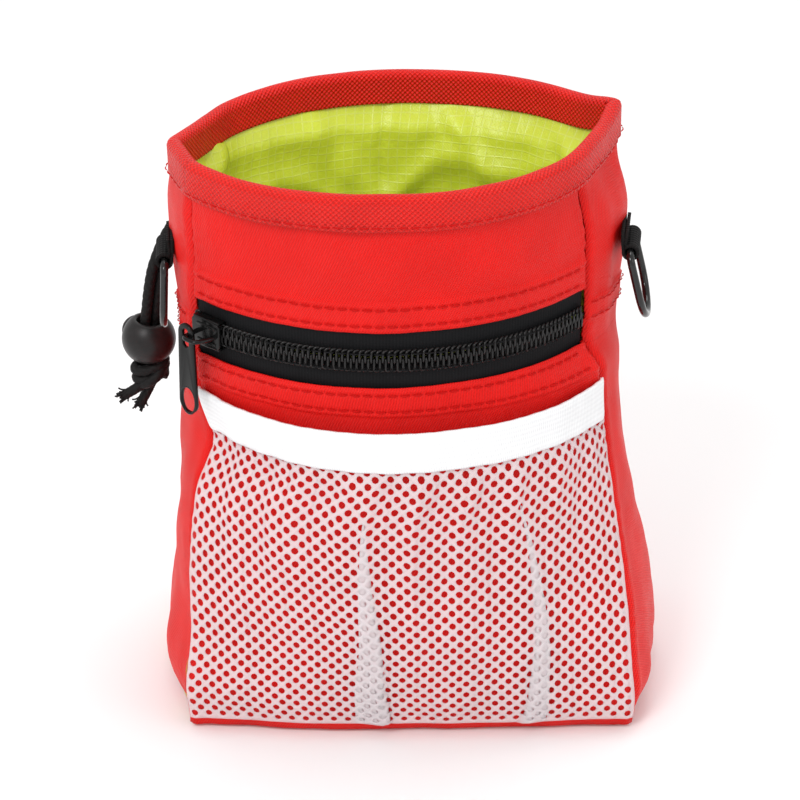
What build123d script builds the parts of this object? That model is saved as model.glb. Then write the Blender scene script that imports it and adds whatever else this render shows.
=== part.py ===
"""Dog treat pouch: a gusseted fabric bag with a bound rim, a drawcord with a cord lock, a zip pocket,
a mesh pocket, two side D-rings and a belt clip.

Frame: +Z up, the front of the bag faces -Y, +X is to the right seen from the front.
The origin is on the resting surface, at the middle of the base. Units are millimetres.
"""

from build123d import *
import math
import os

os.makedirs("parts", exist_ok=True)

# ---- Driving dimensions: the bag's shell ------------------------------------------------------
RIM_Z = 177.0  # top edge of the fabric walls
MOUTH_Z = 105.0  # above this height the plan outline is constant
BASE_Z = 6.0  # below this height the plan outline is the base outline
STATIONS = (BASE_Z, 20.0, 34.0, 48.0, 62.0, 76.0, 90.0, MOUTH_Z)  # the walls are ruled between these
MOUTH_TWIST = 5.0  # the mouth is turned this many degrees about Z against the base
MOUTH_SHIFT = -5.0  # and leans this far along X

FRONT_HALF = 54.0  # mouth: half the front chord
FRONT_CORNER_Y = -20.0
FRONT_BULGE = 25.0
FRONT_LEFT = 54.0  # degrees: the front arc runs on past its chord to the left corner
BACK_HALF = 52.0
BACK_CORNER_Y = 26.0
BACK_BULGE = 19.0
FOLD_RIGHT = (66.0, 10.0)  # the fold line in the middle of each gusset
FOLD_LEFT = (-62.0, 2.0)

BASE_HALF = 67.0  # base: half the width between the corner seams
BASE_CORNER_Y = 42.0
BASE_BULGE = 3.0
BASE_FOLD = 75.5

SHELL_T = 1.0  # coated polyester
SEAM_GAP = 0.12  # each panel stops this short of its seam
FLOOR_T = 1.0
WALL_Z = FLOOR_T + 0.1  # the walls stand just above the base panel

# ---- Layers behind the front panel, as depths from its outer face -----------------------------
TAPE_IN, TAPE_OUT = 1.7, 1.1  # zipper tape
BACKING_IN, BACKING_OUT = 5.0, 4.4  # rear wall of the zip pocket
LINING_GAP, LINING_T = 5.4, 0.5
LINING_RIM = 1.15  # depth of the lining where the binding catches it

# ---- Zipper -----------------------------------------------------------------------------------
ZIP_Z = 125.5
ZIP_OPEN = 17.0  # width of black tape that shows between the two panels
TAPE_LAP = 6.0  # tape behind each panel
TAPE_SPLIT = 1.1  # half the gap between the tapes, where the slider's post runs
COIL_W, COIL_PROUD = 3.3, 1.1
COIL_START = -49.0  # degrees, in the mouth's own frame
SLIDER_REST = -48.0
SLIDER_L, SLIDER_W = 11.0, 9.0
PLATE_T, RUN_GAP = 1.2, 0.3
BRIDGE_R, BRIDGE_OUT, BRIDGE_HALF = 0.7, 8.55, 3.0
PULL_L, PULL_W, PULL_T, PULL_OUT = 29.5, 7.2, 1.1, 6.95

# ---- Mesh pocket ------------------------------------------------------------------------------
MESH_TOP, ELASTIC_H = 105.0, 12.0
MESH_T, ELASTIC_T = 0.6, 0.8
POCKET_GAP, POCKET_BELLY = 5.2, 6.5  # clear depth behind the elastic and at the belly
MESH_CLEAR = 0.2

# ---- Rim binding ------------------------------------------------------------------------------
BINDING_H, BINDING_T = 10.0, 1.0
BINDING_CLEAR = 0.12

# ---- Drawcord and cord lock -------------------------------------------------------------------
CORD_D = 3.2
CHANNEL_Z = 143.0
CORD_LOOP_IN = 3.2  # depth of the cord's centreline behind the shell's outer face
CORD_ROUTE = [
    (-61.8, 13.0, 143.8),
    (-67.0, 14.0, 141.0),
    (-71.4, 14.0, 133.4),
    (-76.0, 14.0, 121.0),
    (-78.2, 14.0, 96.0),
]
STRAND_STEP = 1.68  # half the distance between the two strands
STRAND_ROLL = (0.0, 0.0, 20.0, 40.0, 40.0)  # how far the pair is turned about the route, in degrees
LOCK_AT = (-77.6, 14.0, 103.0)
LOCK_R, LOCK_H, LOCK_BORE = 8.1, 12.6, 3.9
PLUNGER_R, PLUNGER_TRAVEL, PLUNGER_DIR = 4.0, 1.8, 130.0  # direction in degrees from +X
PLUNGER_OUT, PLUNGER_BACK, SOCKET_BACK = 9.3, -3.6, -6.4  # along the plunger, from the lock's axis
KNOT_AT, KNOT_SIZE = (-77.6, 13.4, 91.6), (12.5, 10.0, 8.0)
TAIL_LEANS, TAIL_L = (56.0, 30.0), 13.5
EXIT_YAW, EXIT_Z, EXIT_R = 155.0, 141.8, 4.7  # the hole in the left gusset for the cord

# ---- D-rings and their webbing tabs -----------------------------------------------------------
RING_WIRE, RING_W, RING_H, RING_CORNER = 1.15, 20.0, 22.0, 2.5
RING_Z = 139.5
TAB_W, TAB_T, TAB_RISE = 14.0, 1.2, 6.5
RING_YAW = {"left": 184.0, "right": -7.0}  # which way each ring faces, in degrees from +X
RING_LEAN = {"left": 3.0, "right": 14.0}

# ---- Belt clip on the back --------------------------------------------------------------------
CLIP_W, CLIP_L, CLIP_T, CLIP_GAP = 20.0, 52.0, 1.2, 7.0
CLIP_Z = 151.0
PATCH_W, PATCH_H, PATCH_T = 38.0, 46.0, 1.4
RIVET_R, RIVET_HEAD_R, RIVET_HEAD_T = 1.6, 3.6, 1.0
RIVET_Y = (-15.0, -27.0)  # below the clip's bend

FRONT_R = (FRONT_HALF**2 + FRONT_BULGE**2) / (2 * FRONT_BULGE)
FRONT_C = FRONT_CORNER_Y - FRONT_BULGE + FRONT_R  # centre of the front arc, mouth frame
BACK_R = (BACK_HALF**2 + BACK_BULGE**2) / (2 * BACK_BULGE)
BACK_C = BACK_CORNER_Y + BACK_BULGE - BACK_R
FRONT_ANGLE = math.degrees(math.asin(FRONT_HALF / FRONT_R))
BACK_ANGLE = math.degrees(math.asin(BACK_HALF / BACK_R))
WALLS = {
    "front": ("front_left", "front_mid", "front_right"),
    "right": ("front_right", "right_mid", "back_right"),
    "back": ("back_right", "back_mid", "back_left"),
    "left": ("back_left", "left_mid", "front_left"),
}


def polar(centre_y, radius, degrees, side):
    """A point of an arc about (0, centre_y): side -1 faces -Y and 1 faces +Y."""
    a = math.radians(degrees)
    return (radius * math.sin(a), centre_y + side * radius * math.cos(a))


def mouth_point(name, depth):
    """A point of the mouth outline in the mouth's own frame, that far inside the outer face."""
    front_r, back_r = FRONT_R - depth, BACK_R - depth
    return {
        "front_left": polar(FRONT_C, front_r, -FRONT_LEFT, -1),
        "front_mid": polar(FRONT_C, front_r, 0, -1),
        "front_right": polar(FRONT_C, front_r, FRONT_ANGLE, -1),
        "right_mid": (FOLD_RIGHT[0] - depth, FOLD_RIGHT[1]),
        "back_right": polar(BACK_C, back_r, BACK_ANGLE, 1),
        "back_mid": polar(BACK_C, back_r, 0, 1),
        "back_left": polar(BACK_C, back_r, -BACK_ANGLE, 1),
        "left_mid": (FOLD_LEFT[0] + depth, FOLD_LEFT[1]),
    }[name]


def base_point(name, depth):
    """The same point of the base outline."""
    x, y = BASE_HALF - depth, BASE_CORNER_Y - depth
    return {
        "front_left": (-x, -y),
        "front_mid": (0, -y - BASE_BULGE),
        "front_right": (x, -y),
        "right_mid": (BASE_FOLD - depth, 0),
        "back_right": (x, y),
        "back_mid": (0, y + BASE_BULGE),
        "back_left": (-x, y),
        "left_mid": (-BASE_FOLD + depth, 0),
    }[name]


def to_world(point):
    """From the mouth's own frame to the part's frame."""
    a = math.radians(MOUTH_TWIST)
    x, y = point
    return (x * math.cos(a) - y * math.sin(a) + MOUTH_SHIFT, x * math.sin(a) + y * math.cos(a))


def smooth(z):
    t = (z - BASE_Z) / (MOUTH_Z - BASE_Z)
    return t * t * (3 - 2 * t)


def blend(z):
    """0 at the base outline and 1 at the mouth outline, straight between the stations."""
    z = min(MOUTH_Z, max(BASE_Z, z))
    for low, high in zip(STATIONS, STATIONS[1:]):
        if z <= high:
            t = (z - low) / (high - low)
            return smooth(low) * (1 - t) + smooth(high) * t


def outline_point(name, z, depth):
    t = blend(z)
    low, high = base_point(name, depth), to_world(mouth_point(name, depth))
    return (low[0] * (1 - t) + high[0] * t, low[1] * (1 - t) + high[1] * t, z)


def toward(a, b, distance):
    """The point that far from a on the way to b."""
    v = Vector(b) - Vector(a)
    return tuple(Vector(a) + v.normalized() * distance)


def wall_section(wall, z, outer, inner):
    """One panel's cross-section at height z. outer and inner give the depth at (corner, middle)."""
    start, middle, end = WALLS[wall]
    rows = []
    for corner_depth, mid_depth in (outer, inner):
        a, b = (outline_point(n, z, corner_depth) for n in (start, end))
        m = outline_point(middle, z, mid_depth)
        rows.append((toward(a, m, SEAM_GAP), m, toward(b, m, SEAM_GAP)))
    (a0, m0, b0), (a1, m1, b1) = rows
    edges = [ThreePointArc(a0, m0, b0), Line(b0, b1), ThreePointArc(b1, m1, a1), Line(a1, a0)]
    return make_face(Wire(edges))


def heights(low, high):
    """Section heights from low to high, with every station between them."""
    return [low] + [z for z in STATIONS if low + 1 < z < high - 1] + [high]


def wall_panel(wall, low, high, outer=(0.0, 0.0), inner=(SHELL_T, SHELL_T)):
    return loft([wall_section(wall, z, outer, inner) for z in heights(low, high)], ruled=True)


def ring_wire(z, depth):
    """The whole plan outline at height z, that far inside the outer face."""
    arcs = [ThreePointArc(*(outline_point(n, z, depth) for n in names)) for names in WALLS.values()]
    return Wire(arcs)


def plan_solid(stations):
    """A solid between outlines, given as (height, depth) pairs."""
    return loft([make_face(ring_wire(z, depth)) for z, depth in stations], ruled=True)


def arc_band(low, high, outer, inner, start=-FRONT_LEFT, end=FRONT_ANGLE):
    """A band that follows the front arc: outer and inner are depths, start and end degrees."""
    radii = (FRONT_R - outer, FRONT_R - inner)
    mid = (start + end) / 2
    pts = [[polar(FRONT_C, r, a, -1) for a in (start, mid, end)] for r in radii]
    (a0, m0, b0), (a1, m1, b1) = [[(*to_world(p), low) for p in row] for row in pts]
    wire = Wire([ThreePointArc(a0, m0, b0), Line(b0, b1), ThreePointArc(b1, m1, a1), Line(a1, a0)])
    return extrude(make_face(wire), high - low, dir=(0, 0, 1))


# ---- Fabric pieces ----------------------------------------------------------------------------
def front_panels():
    low_edge, high_edge = ZIP_Z - ZIP_OPEN / 2, ZIP_Z + ZIP_OPEN / 2
    return {
        "front_lower_panel": wall_panel("front", WALL_Z, low_edge),
        "front_upper_panel": wall_panel("front", high_edge, RIM_Z),
    }


def gusset_panels():
    """Each gusset is two cuts, joined by a level seam beside the zipper. The left one has the
    hole for the drawcord."""
    parts = {}
    for side in ("left", "right"):
        parts[f"{side}_gusset_lower"] = wall_panel(side, WALL_Z, ZIP_Z - SEAM_GAP)
        parts[f"{side}_gusset_upper"] = wall_panel(side, ZIP_Z + SEAM_GAP, RIM_Z)
    parts["left_gusset_upper"] -= gusset_frame("left", EXIT_YAW, EXIT_Z) * Cylinder(EXIT_R, 30)
    return parts


def base_panel():
    return plan_solid([(0.0, 0.0), (FLOOR_T, 0.0)])


def lining():
    """One wrapped wall and a base. The wall leaves room for the drawcord and the zip pocket."""
    stations = [(WALL_Z + LINING_T + 0.5, 2.4)]
    stations += [(z, LINING_GAP) for z in (*STATIONS[1:], 158.0)]
    stations += [(RIM_Z - BINDING_H - 1, LINING_RIM), (RIM_Z, LINING_RIM)]
    outside = plan_solid(stations)
    inside = plan_solid([(z, depth + LINING_T) for z, depth in stations])
    floor = plan_solid([(WALL_Z + 0.3, 2.4), (WALL_Z + 0.3 + LINING_T, 2.4)])
    return outside - inside, floor


def binding():
    """Woven tape folded over the rim: two legs and the bridge between them."""
    low, high = RIM_Z - BINDING_H, RIM_Z + BINDING_CLEAR
    inner_face = LINING_RIM + LINING_T + BINDING_CLEAR
    body = plan_solid([(low, -BINDING_CLEAR - BINDING_T), (high + BINDING_T, -BINDING_CLEAR - BINDING_T)])
    body -= plan_solid([(low - 1, inner_face + BINDING_T), (high + BINDING_T + 1, inner_face + BINDING_T)])
    channel = plan_solid([(low - 1, -BINDING_CLEAR), (high, -BINDING_CLEAR)])
    channel -= plan_solid([(low - 2, inner_face), (high + 1, inner_face)])
    return body - channel


def pocket_depths(z, thick):
    """(corner, middle) depths of the mesh pocket's two faces at height z, negative outside."""
    lower, upper = 4.0, MESH_TOP - ELASTIC_H
    t = min(1.0, max(0.0, (z - lower) / (upper - lower)))
    gap = MESH_CLEAR + (POCKET_GAP - MESH_CLEAR) * t + POCKET_BELLY * 2.2 * t * (1 - t)
    return (-MESH_CLEAR - thick, -gap - thick), (-MESH_CLEAR, -gap)


def mesh_pocket():
    low, band = 3.0, MESH_TOP - ELASTIC_H
    sections = [wall_section("front", z, *pocket_depths(z, MESH_T)) for z in heights(low, band - 0.1)]
    top = [wall_section("front", z, *pocket_depths(z, ELASTIC_T)) for z in (band, MESH_TOP)]
    return loft(sections, ruled=True), loft(top, ruled=True)


def zip_pocket():
    """The zip pocket's rear wall. It hangs from the seam above the zipper."""
    top = ZIP_Z + ZIP_OPEN / 2 + TAPE_LAP
    return wall_panel("front", 40.0, top, (BACKING_OUT,) * 2, (BACKING_IN,) * 2)


# ---- Zipper -----------------------------------------------------------------------------------
def zipper_tapes():
    reach = ZIP_OPEN / 2 + TAPE_LAP
    return {
        "zipper_tape_lower": arc_band(ZIP_Z - reach, ZIP_Z - TAPE_SPLIT, TAPE_OUT, TAPE_IN),
        "zipper_tape_upper": arc_band(ZIP_Z + TAPE_SPLIT, ZIP_Z + reach, TAPE_OUT, TAPE_IN),
    }


def zipper_coils():
    """Each coil is one rounded band here, meshed along the whole length to the right of the slider."""
    tiny = 0.08
    faces = (-COIL_PROUD, TAPE_OUT - 0.05, COIL_START, FRONT_ANGLE - 0.3)
    return {
        "zipper_coil_lower": arc_band(ZIP_Z - COIL_W, ZIP_Z - tiny, *faces),
        "zipper_coil_upper": arc_band(ZIP_Z + tiny, ZIP_Z + COIL_W, *faces),
    }


def slider_frame():
    """Plane at the slider: origin on the zipper's centre line, local x along the zipper to the
    right, local y straight up, local z out of the bag."""
    x, y = to_world(polar(FRONT_C, FRONT_R, SLIDER_REST, -1))
    a = math.radians(SLIDER_REST + MOUTH_TWIST)
    return Plane(origin=(x, y, ZIP_Z), x_dir=(math.cos(a), math.sin(a), 0), z_dir=(math.sin(a), -math.cos(a), 0))


def slider():
    half = math.degrees(SLIDER_L / 2 / FRONT_R)
    span = (SLIDER_REST - half, SLIDER_REST + half)
    low, high = ZIP_Z - SLIDER_W / 2, ZIP_Z + SLIDER_W / 2
    over = -COIL_PROUD - RUN_GAP
    flange = (SLIDER_W - 2 * COIL_W - 2 * RUN_GAP) / 2
    under = TAPE_IN + RUN_GAP
    body = arc_band(low, high, over - PLATE_T, over, *span)
    body += arc_band(low, high, under, under + PLATE_T, *span)
    body += arc_band(low, low + flange, over, TAPE_OUT - RUN_GAP, *span)
    body += arc_band(high - flange, high, over, TAPE_OUT - RUN_GAP, *span)
    post = (span[0], COIL_START - 0.25)
    body += arc_band(ZIP_Z - 0.8, ZIP_Z + 0.8, over - 0.2, under + 0.2, *post)
    frame = slider_frame()
    top = -over + PLATE_T
    bar = Cylinder(BRIDGE_R, 2 * BRIDGE_HALF + 2 * BRIDGE_R, rotation=(0, 90, 0))
    bridge = Pos(0, 0, BRIDGE_OUT) * bar
    for sign in (-1, 1):
        leg_h = BRIDGE_OUT - top + 0.6
        bridge += Pos(sign * BRIDGE_HALF, 0, top - 0.6 + leg_h / 2) * Cylinder(BRIDGE_R, leg_h)
    return body + frame * bridge


def pull():
    """A flat tab with a slot at its top, which hangs on the bridge's left leg, and an oval hole."""
    eye_r, grip_r = 3.0, PULL_W / 2
    slot_w, slot_l = 1.15, 3.4
    top, bottom = 2.2, 2.2 - PULL_L + grip_r + eye_r
    with BuildSketch() as outline:
        with Locations((0, top - 1.2)):
            Circle(eye_r)
        with Locations((0, bottom)):
            Circle(grip_r)
        make_hull()
        with Locations((0, top - 2.6)):
            SlotCenterToCenter(slot_l, 2 * slot_w, rotation=90, mode=Mode.SUBTRACT)
        with Locations((0, bottom + 0.5)):
            Ellipse(2.6, 3.9, mode=Mode.SUBTRACT)
    plate = extrude(outline.sketch, PULL_T / 2, both=True)
    return slider_frame() * Pos(-BRIDGE_HALF, -0.35, PULL_OUT) * plate


# ---- Drawcord and lock ------------------------------------------------------------------------
def cord_tube(points, diameter):
    """A tube along straight runs joined by arcs as large as the runs allow. Prints the radii."""
    runs = [(Vector(b) - Vector(a)).length for a, b in zip(points, points[1:])]
    radii = []
    for i in range(1, len(points) - 1):
        before = Vector(points[i]) - Vector(points[i - 1])
        after = Vector(points[i + 1]) - Vector(points[i])
        turn = math.radians(before.get_angle(after))
        radii.append(0.45 * min(runs[i - 1], runs[i]) / math.tan(turn / 2))
    print("cord radii", [round(r, 1) for r in radii], "runs", [round(r, 1) for r in runs])
    path = FilletPolyline(*points, radius=radii)
    profile = Plane(origin=path @ 0, z_dir=path % 0) * Circle(diameter / 2)
    tube = sweep(profile, path=path)
    length = tube.volume / (math.pi * diameter**2 / 4)
    print("cord length", round(path.length, 2), "volume over section", round(length, 2))
    return tube


def strand_points(sign):
    """The route of one of the two strands: one above the other at the exit, side by side below."""
    last = len(CORD_ROUTE) - 2
    points = []
    for i, p in enumerate(CORD_ROUTE):
        ahead = Vector(CORD_ROUTE[min(i, last) + 1]) - Vector(CORD_ROUTE[min(i, last)])
        behind = ahead
        if 0 < i < last:
            behind = Vector(p) - Vector(CORD_ROUTE[i - 1])
        along = (ahead.normalized() + behind.normalized()).normalized()
        above = Vector(along.Z, 0, -along.X).normalized()
        roll = math.radians(STRAND_ROLL[i])
        shift = above * math.cos(roll) + Vector(0, -math.sin(roll), 0)
        points.append(tuple(Vector(p) + shift * STRAND_STEP * sign))
    return points


def strands():
    """The two ends of the drawcord, from the eyelet down through the lock to the knot."""
    upper, lower = cord_tube(strand_points(1), CORD_D), cord_tube(strand_points(-1), CORD_D)
    return {"drawcord_outer_strand": upper, "drawcord_inner_strand": lower}


def drawcord_loop():
    """The part of the cord inside the channel, round the bag from the exit back to the exit."""
    half = CORD_D / 2
    outer, inner = CORD_LOOP_IN - half, CORD_LOOP_IN + half
    low, high = CHANNEL_Z - half, CHANNEL_Z + half
    hoop = plan_solid([(low, outer), (high, outer)]) - plan_solid([(low - 1, inner), (high + 1, inner)])
    return hoop - gusset_frame("left", EXIT_YAW, EXIT_Z) * Cylinder(EXIT_R + 0.6, 30)


def knot():
    x, y, z = KNOT_SIZE
    return Pos(*KNOT_AT) * scale(Sphere(1), by=(x / 2, y / 2, z / 2))


def tails():
    """The two cord ends below the knot."""
    parts = []
    for sign, lean in zip((-1, 1), TAIL_LEANS):
        tail = Pos(0, 0, -TAIL_L / 2) * Cylinder(CORD_D / 2, TAIL_L)
        tail = Pos(*KNOT_AT) * Pos(0, sign * 1.8, 0) * Rot(0, lean, 0) * tail
        parts.append(tail - knot())
    return Compound(parts)


def lock_frame():
    """Plane at the cord lock: local z runs up along the cord."""
    top, bottom = Vector(CORD_ROUTE[-2]), Vector(CORD_ROUTE[-1])
    return Plane(origin=LOCK_AT, z_dir=tuple(top - bottom), x_dir=(0, -1, 0))


def plunger_place():
    """The plunger's frame inside the lock: local z points out of the button."""
    return Rot(0, 0, PLUNGER_DIR + 90) * Rot(0, 90, 0)


def lock_barrel():
    ball = Sphere(LOCK_R) & Cylinder(LOCK_R, LOCK_H)
    ball -= Cylinder(LOCK_BORE, LOCK_H + 1)
    socket_l = LOCK_R + 2 - SOCKET_BACK
    socket = Pos(0, 0, SOCKET_BACK + socket_l / 2) * Cylinder(PLUNGER_R + 0.15, socket_l)
    return lock_frame() * (ball - plunger_place() * socket)


def lock_plunger():
    length = PLUNGER_OUT - PLUNGER_BACK
    stem = Pos(0, 0, PLUNGER_BACK + length / 2) * Cylinder(PLUNGER_R, length)
    stem = fillet(stem.edges().sort_by(Axis.Z)[-1], 1.2)
    near, far = -CORD_D / 2 - 0.35, CORD_D / 2 + 0.35 + PLUNGER_TRAVEL
    window = Box(2 * PLUNGER_R + 2, 7.0, far - near)
    return lock_frame() * plunger_place() * (stem - Pos(0, 0, (far + near) / 2) * window)


def lock_spring():
    """A short compression spring behind the plunger, as a closed sleeve of its outer shape."""
    length = PLUNGER_BACK - SOCKET_BACK - 0.2
    sleeve = Cylinder(2.6, length) - Cylinder(1.9, length + 1)
    return lock_frame() * plunger_place() * Pos(0, 0, SOCKET_BACK + 0.1 + length / 2) * sleeve


def cord_eyelet():
    """A pressed ring round the cord's exit, flat against the gusset."""
    ring = Cylinder(EXIT_R + 2.0, 0.8) - Cylinder(EXIT_R - 0.2, 4)
    return gusset_frame("left", EXIT_YAW, EXIT_Z) * Pos(0, 0, 1.1) * ring


# ---- Rings, clip ------------------------------------------------------------------------------
def gusset_frame(side, yaw, z):
    """Plane on a gusset's outer face, above the mouth height, where it faces yaw degrees from +X.
    Local z points out of the bag and local y up."""
    names = WALLS[side]
    arc = ThreePointArc(*(outline_point(n, z, 0) for n in names))
    a = math.radians(yaw)
    normal = Vector(math.cos(a), math.sin(a), 0)
    at = Vector(arc.arc_center) + normal * arc.radius
    return Plane(origin=at, x_dir=(-math.sin(a), math.cos(a), 0), z_dir=tuple(normal))


RING_OUT = RING_WIRE + TAB_T + 0.75  # the bar's axis, from the gusset


def d_ring(side):
    """Wire bent to a D: a straight bar at the top and a round bow below, leaning out."""
    half, c = RING_W / 2, RING_CORNER
    straight = RING_H - half
    k = c * (1 - math.sqrt(0.5))
    path = Wire([
        Line((-half + c, 0, 0), (half - c, 0, 0)),
        ThreePointArc((half - c, 0, 0), (half - k, -k, 0), (half, -c, 0)),
        Line((half, -c, 0), (half, -straight, 0)),
        ThreePointArc((half, -straight, 0), (0, -RING_H, 0), (-half, -straight, 0)),
        Line((-half, -straight, 0), (-half, -c, 0)),
        ThreePointArc((-half, -c, 0), (-half + k, -k, 0), (-half + c, 0, 0)),
    ])
    profile = Plane(origin=path @ 0, z_dir=path % 0) * Circle(RING_WIRE)
    ring = sweep(profile, path=path)
    bar = Pos(0, 0, RING_OUT) * Rot(-RING_LEAN[side], 0, 0)
    return gusset_frame(side, RING_YAW[side], RING_Z) * bar * ring


def ring_tab(side):
    """Webbing folded round the ring's bar, with a neck that goes up to the gusset."""
    eye, bore = RING_WIRE + 0.3 + TAB_T, RING_WIRE + 0.3
    with BuildSketch(Plane.YZ) as shape:
        Circle(eye)
        with Locations((TAB_RISE / 2, -eye + TAB_T)):
            Rectangle(TAB_RISE, 2 * TAB_T)
        Circle(bore, mode=Mode.SUBTRACT)
    tab = Pos(0, 0, RING_OUT) * extrude(shape.sketch, TAB_W / 2, both=True)
    frame = gusset_frame(side, RING_YAW[side], RING_Z)
    return frame * tab - wall_clearance(side)


def wall_clearance(side):
    """The bag's volume near a ring, a little larger than the shell, to trim a tab to the gusset."""
    return plan_solid([(RING_Z - 12, -0.12), (RING_Z + 12, -0.12)])


def clip_frame():
    """Plane at the back panel: local z out of the bag, local y up."""
    a = math.radians(MOUTH_TWIST)
    x, y = to_world((0, BACK_C + BACK_R))
    across = (-math.cos(a), -math.sin(a), 0)
    return Plane(origin=(x, y, CLIP_Z), x_dir=across, z_dir=(-math.sin(a), math.cos(a), 0))


def clip_patch():
    """Webbing patch that follows the back panel and takes the rivets."""
    half = math.degrees(PATCH_W / 2 / BACK_R)
    rows = []
    for r in (BACK_R + 0.15, BACK_R + 0.15 + PATCH_T):
        rows.append([(*to_world(polar(BACK_C, r, a, 1)), CLIP_Z - PATCH_H + 4) for a in (-half, 0, half)])
    (a0, m0, b0), (a1, m1, b1) = rows
    wire = Wire([ThreePointArc(a0, m0, b0), Line(b0, b1), ThreePointArc(b1, m1, a1), Line(a1, a0)])
    patch = extrude(make_face(wire), PATCH_H, dir=(0, 0, 1))
    for y in RIVET_Y:
        patch -= clip_frame() * Pos(0, y, 0) * Cylinder(RIVET_R + 0.05, 12)
    return patch


def belt_clip():
    """One strip of spring steel: a plate riveted to the patch, a bend at the top, and a free leg
    that comes back down with its tip kicked outwards."""
    z0 = 0.15 + PATCH_T + 0.55
    bend = (CLIP_GAP + CLIP_T) / 2
    z1 = z0 + CLIP_GAP + CLIP_T
    plate_end, leg_end = -32.0, -CLIP_L + 10
    with BuildSketch(Plane.YZ) as profile:
        with BuildLine():
            inner = Line((plate_end, z0 + CLIP_T / 2), (0, z0 + CLIP_T / 2))
            arc = ThreePointArc(inner @ 1, (bend, (z0 + z1 + CLIP_T) / 2), (0, z1 + CLIP_T / 2))
            Line(arc @ 1, (leg_end, z1 - 1.2 + CLIP_T / 2))
            Line((leg_end, z1 - 1.2 + CLIP_T / 2), (leg_end - 7, z1 + 2.2))
        trace(line_width=CLIP_T)
    strip = extrude(profile.sketch, CLIP_W / 2, both=True)
    for y in RIVET_Y:
        strip -= Pos(0, y, z0) * Cylinder(RIVET_R + 0.05, 4)
    return clip_frame() * strip


def clip_rivets():
    """Two hollow rivets: a head on the clip's plate, a shank and a washer behind the back panel."""
    z0 = 0.15 + PATCH_T + 0.55
    outer, inner = z0 + CLIP_T + 0.1, -SHELL_T - 0.25
    solids = []
    for y in RIVET_Y:
        shank = Pos(0, 0, (outer + inner) / 2) * Cylinder(RIVET_R, outer - inner)
        head = Pos(0, 0, outer + RIVET_HEAD_T / 2) * Cylinder(RIVET_HEAD_R, RIVET_HEAD_T)
        washer = Pos(0, 0, inner - RIVET_HEAD_T / 2) * Cylinder(RIVET_HEAD_R, RIVET_HEAD_T)
        solids.append(clip_frame() * Pos(0, y, 0) * (shank + head + washer))
    return Compound(solids)


def back_panel():
    panel = wall_panel("back", WALL_Z, RIM_Z)
    for y in RIVET_Y:
        panel -= clip_frame() * Pos(0, y, 0) * Cylinder(RIVET_R + 0.05, 8)
    return panel


def build():
    parts = {**front_panels(), **gusset_panels()}
    parts["back_panel"] = back_panel()
    parts["base_panel"] = base_panel()
    parts["lining_wall"], parts["lining_base"] = lining()
    parts["rim_binding"] = binding()
    parts["mesh_pocket"], parts["mesh_pocket_elastic"] = mesh_pocket()
    parts["zip_pocket_backing"] = zip_pocket()
    parts.update(zipper_tapes())
    parts.update(zipper_coils())
    parts["zipper_slider"] = slider()
    parts["zipper_pull"] = pull()
    parts.update(strands())
    parts["drawcord_loop"] = drawcord_loop()
    parts["drawcord_knot"] = knot()
    parts["drawcord_tails"] = tails()
    parts["cord_lock_barrel"] = lock_barrel()
    parts["cord_lock_plunger"] = lock_plunger()
    parts["cord_lock_spring"] = lock_spring()
    parts["cord_eyelet"] = cord_eyelet()
    for side in ("left", "right"):
        parts[f"{side}_ring"] = d_ring(side)
        parts[f"{side}_ring_tab"] = ring_tab(side)
    parts["clip_patch"] = clip_patch()
    parts["belt_clip"] = belt_clip()
    parts["clip_rivets"] = clip_rivets()
    return parts


for node, shape in build().items():
    export_step(shape, f"parts/{node}.step")
    print(node, len(shape.solids()), [round(v, 1) for v in shape.bounding_box().size])
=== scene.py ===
"""Looks for the treat pouch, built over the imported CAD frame.

Lengths are in millimetres in the part's own frame until a mesh is made: mesh_object scales to metres.
A wall is addressed by t, the fraction of its width, and z, its height. Reliefs are distances out of it.
"""

import math

import bmesh
import bpy
import numpy as np
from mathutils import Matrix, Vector, noise


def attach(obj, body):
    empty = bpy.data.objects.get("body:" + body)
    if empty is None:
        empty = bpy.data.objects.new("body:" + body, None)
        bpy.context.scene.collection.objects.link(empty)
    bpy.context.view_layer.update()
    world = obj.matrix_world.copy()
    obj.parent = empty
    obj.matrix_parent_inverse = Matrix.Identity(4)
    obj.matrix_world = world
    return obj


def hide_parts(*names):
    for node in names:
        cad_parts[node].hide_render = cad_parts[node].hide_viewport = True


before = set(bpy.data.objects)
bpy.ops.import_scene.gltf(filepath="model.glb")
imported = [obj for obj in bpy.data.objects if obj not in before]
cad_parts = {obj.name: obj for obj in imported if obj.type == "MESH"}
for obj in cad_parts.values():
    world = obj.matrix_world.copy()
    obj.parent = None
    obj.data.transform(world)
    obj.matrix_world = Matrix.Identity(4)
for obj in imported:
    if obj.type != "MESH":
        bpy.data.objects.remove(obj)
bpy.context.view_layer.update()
MM = 0.001

# ---- Driving dimensions, as in the CAD --------------------------------------------------------
RIM_Z, MOUTH_Z, BASE_Z = 177.0, 105.0, 6.0
MOUTH_TWIST, MOUTH_SHIFT = 5.0, -5.0
FRONT_HALF, FRONT_CORNER_Y, FRONT_BULGE, FRONT_LEFT = 54.0, -20.0, 25.0, 54.0
BACK_HALF, BACK_CORNER_Y, BACK_BULGE = 52.0, 26.0, 19.0
FOLD_RIGHT, FOLD_LEFT = (66.0, 10.0), (-62.0, 2.0)
BASE_HALF, BASE_CORNER_Y, BASE_BULGE, BASE_FOLD = 67.0, 42.0, 3.0, 75.5
ZIP_Z, ZIP_OPEN = 125.5, 17.0
COIL_START, SLIDER_REST = -49.0, -48.0
MESH_TOP, ELASTIC_H = 105.0, 12.0
POCKET_GAP, POCKET_BELLY = 5.2, 6.5
BINDING_H = 10.0
CORD_D, CHANNEL_Z, CORD_LOOP_IN = 3.2, 143.0, 3.2
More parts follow.
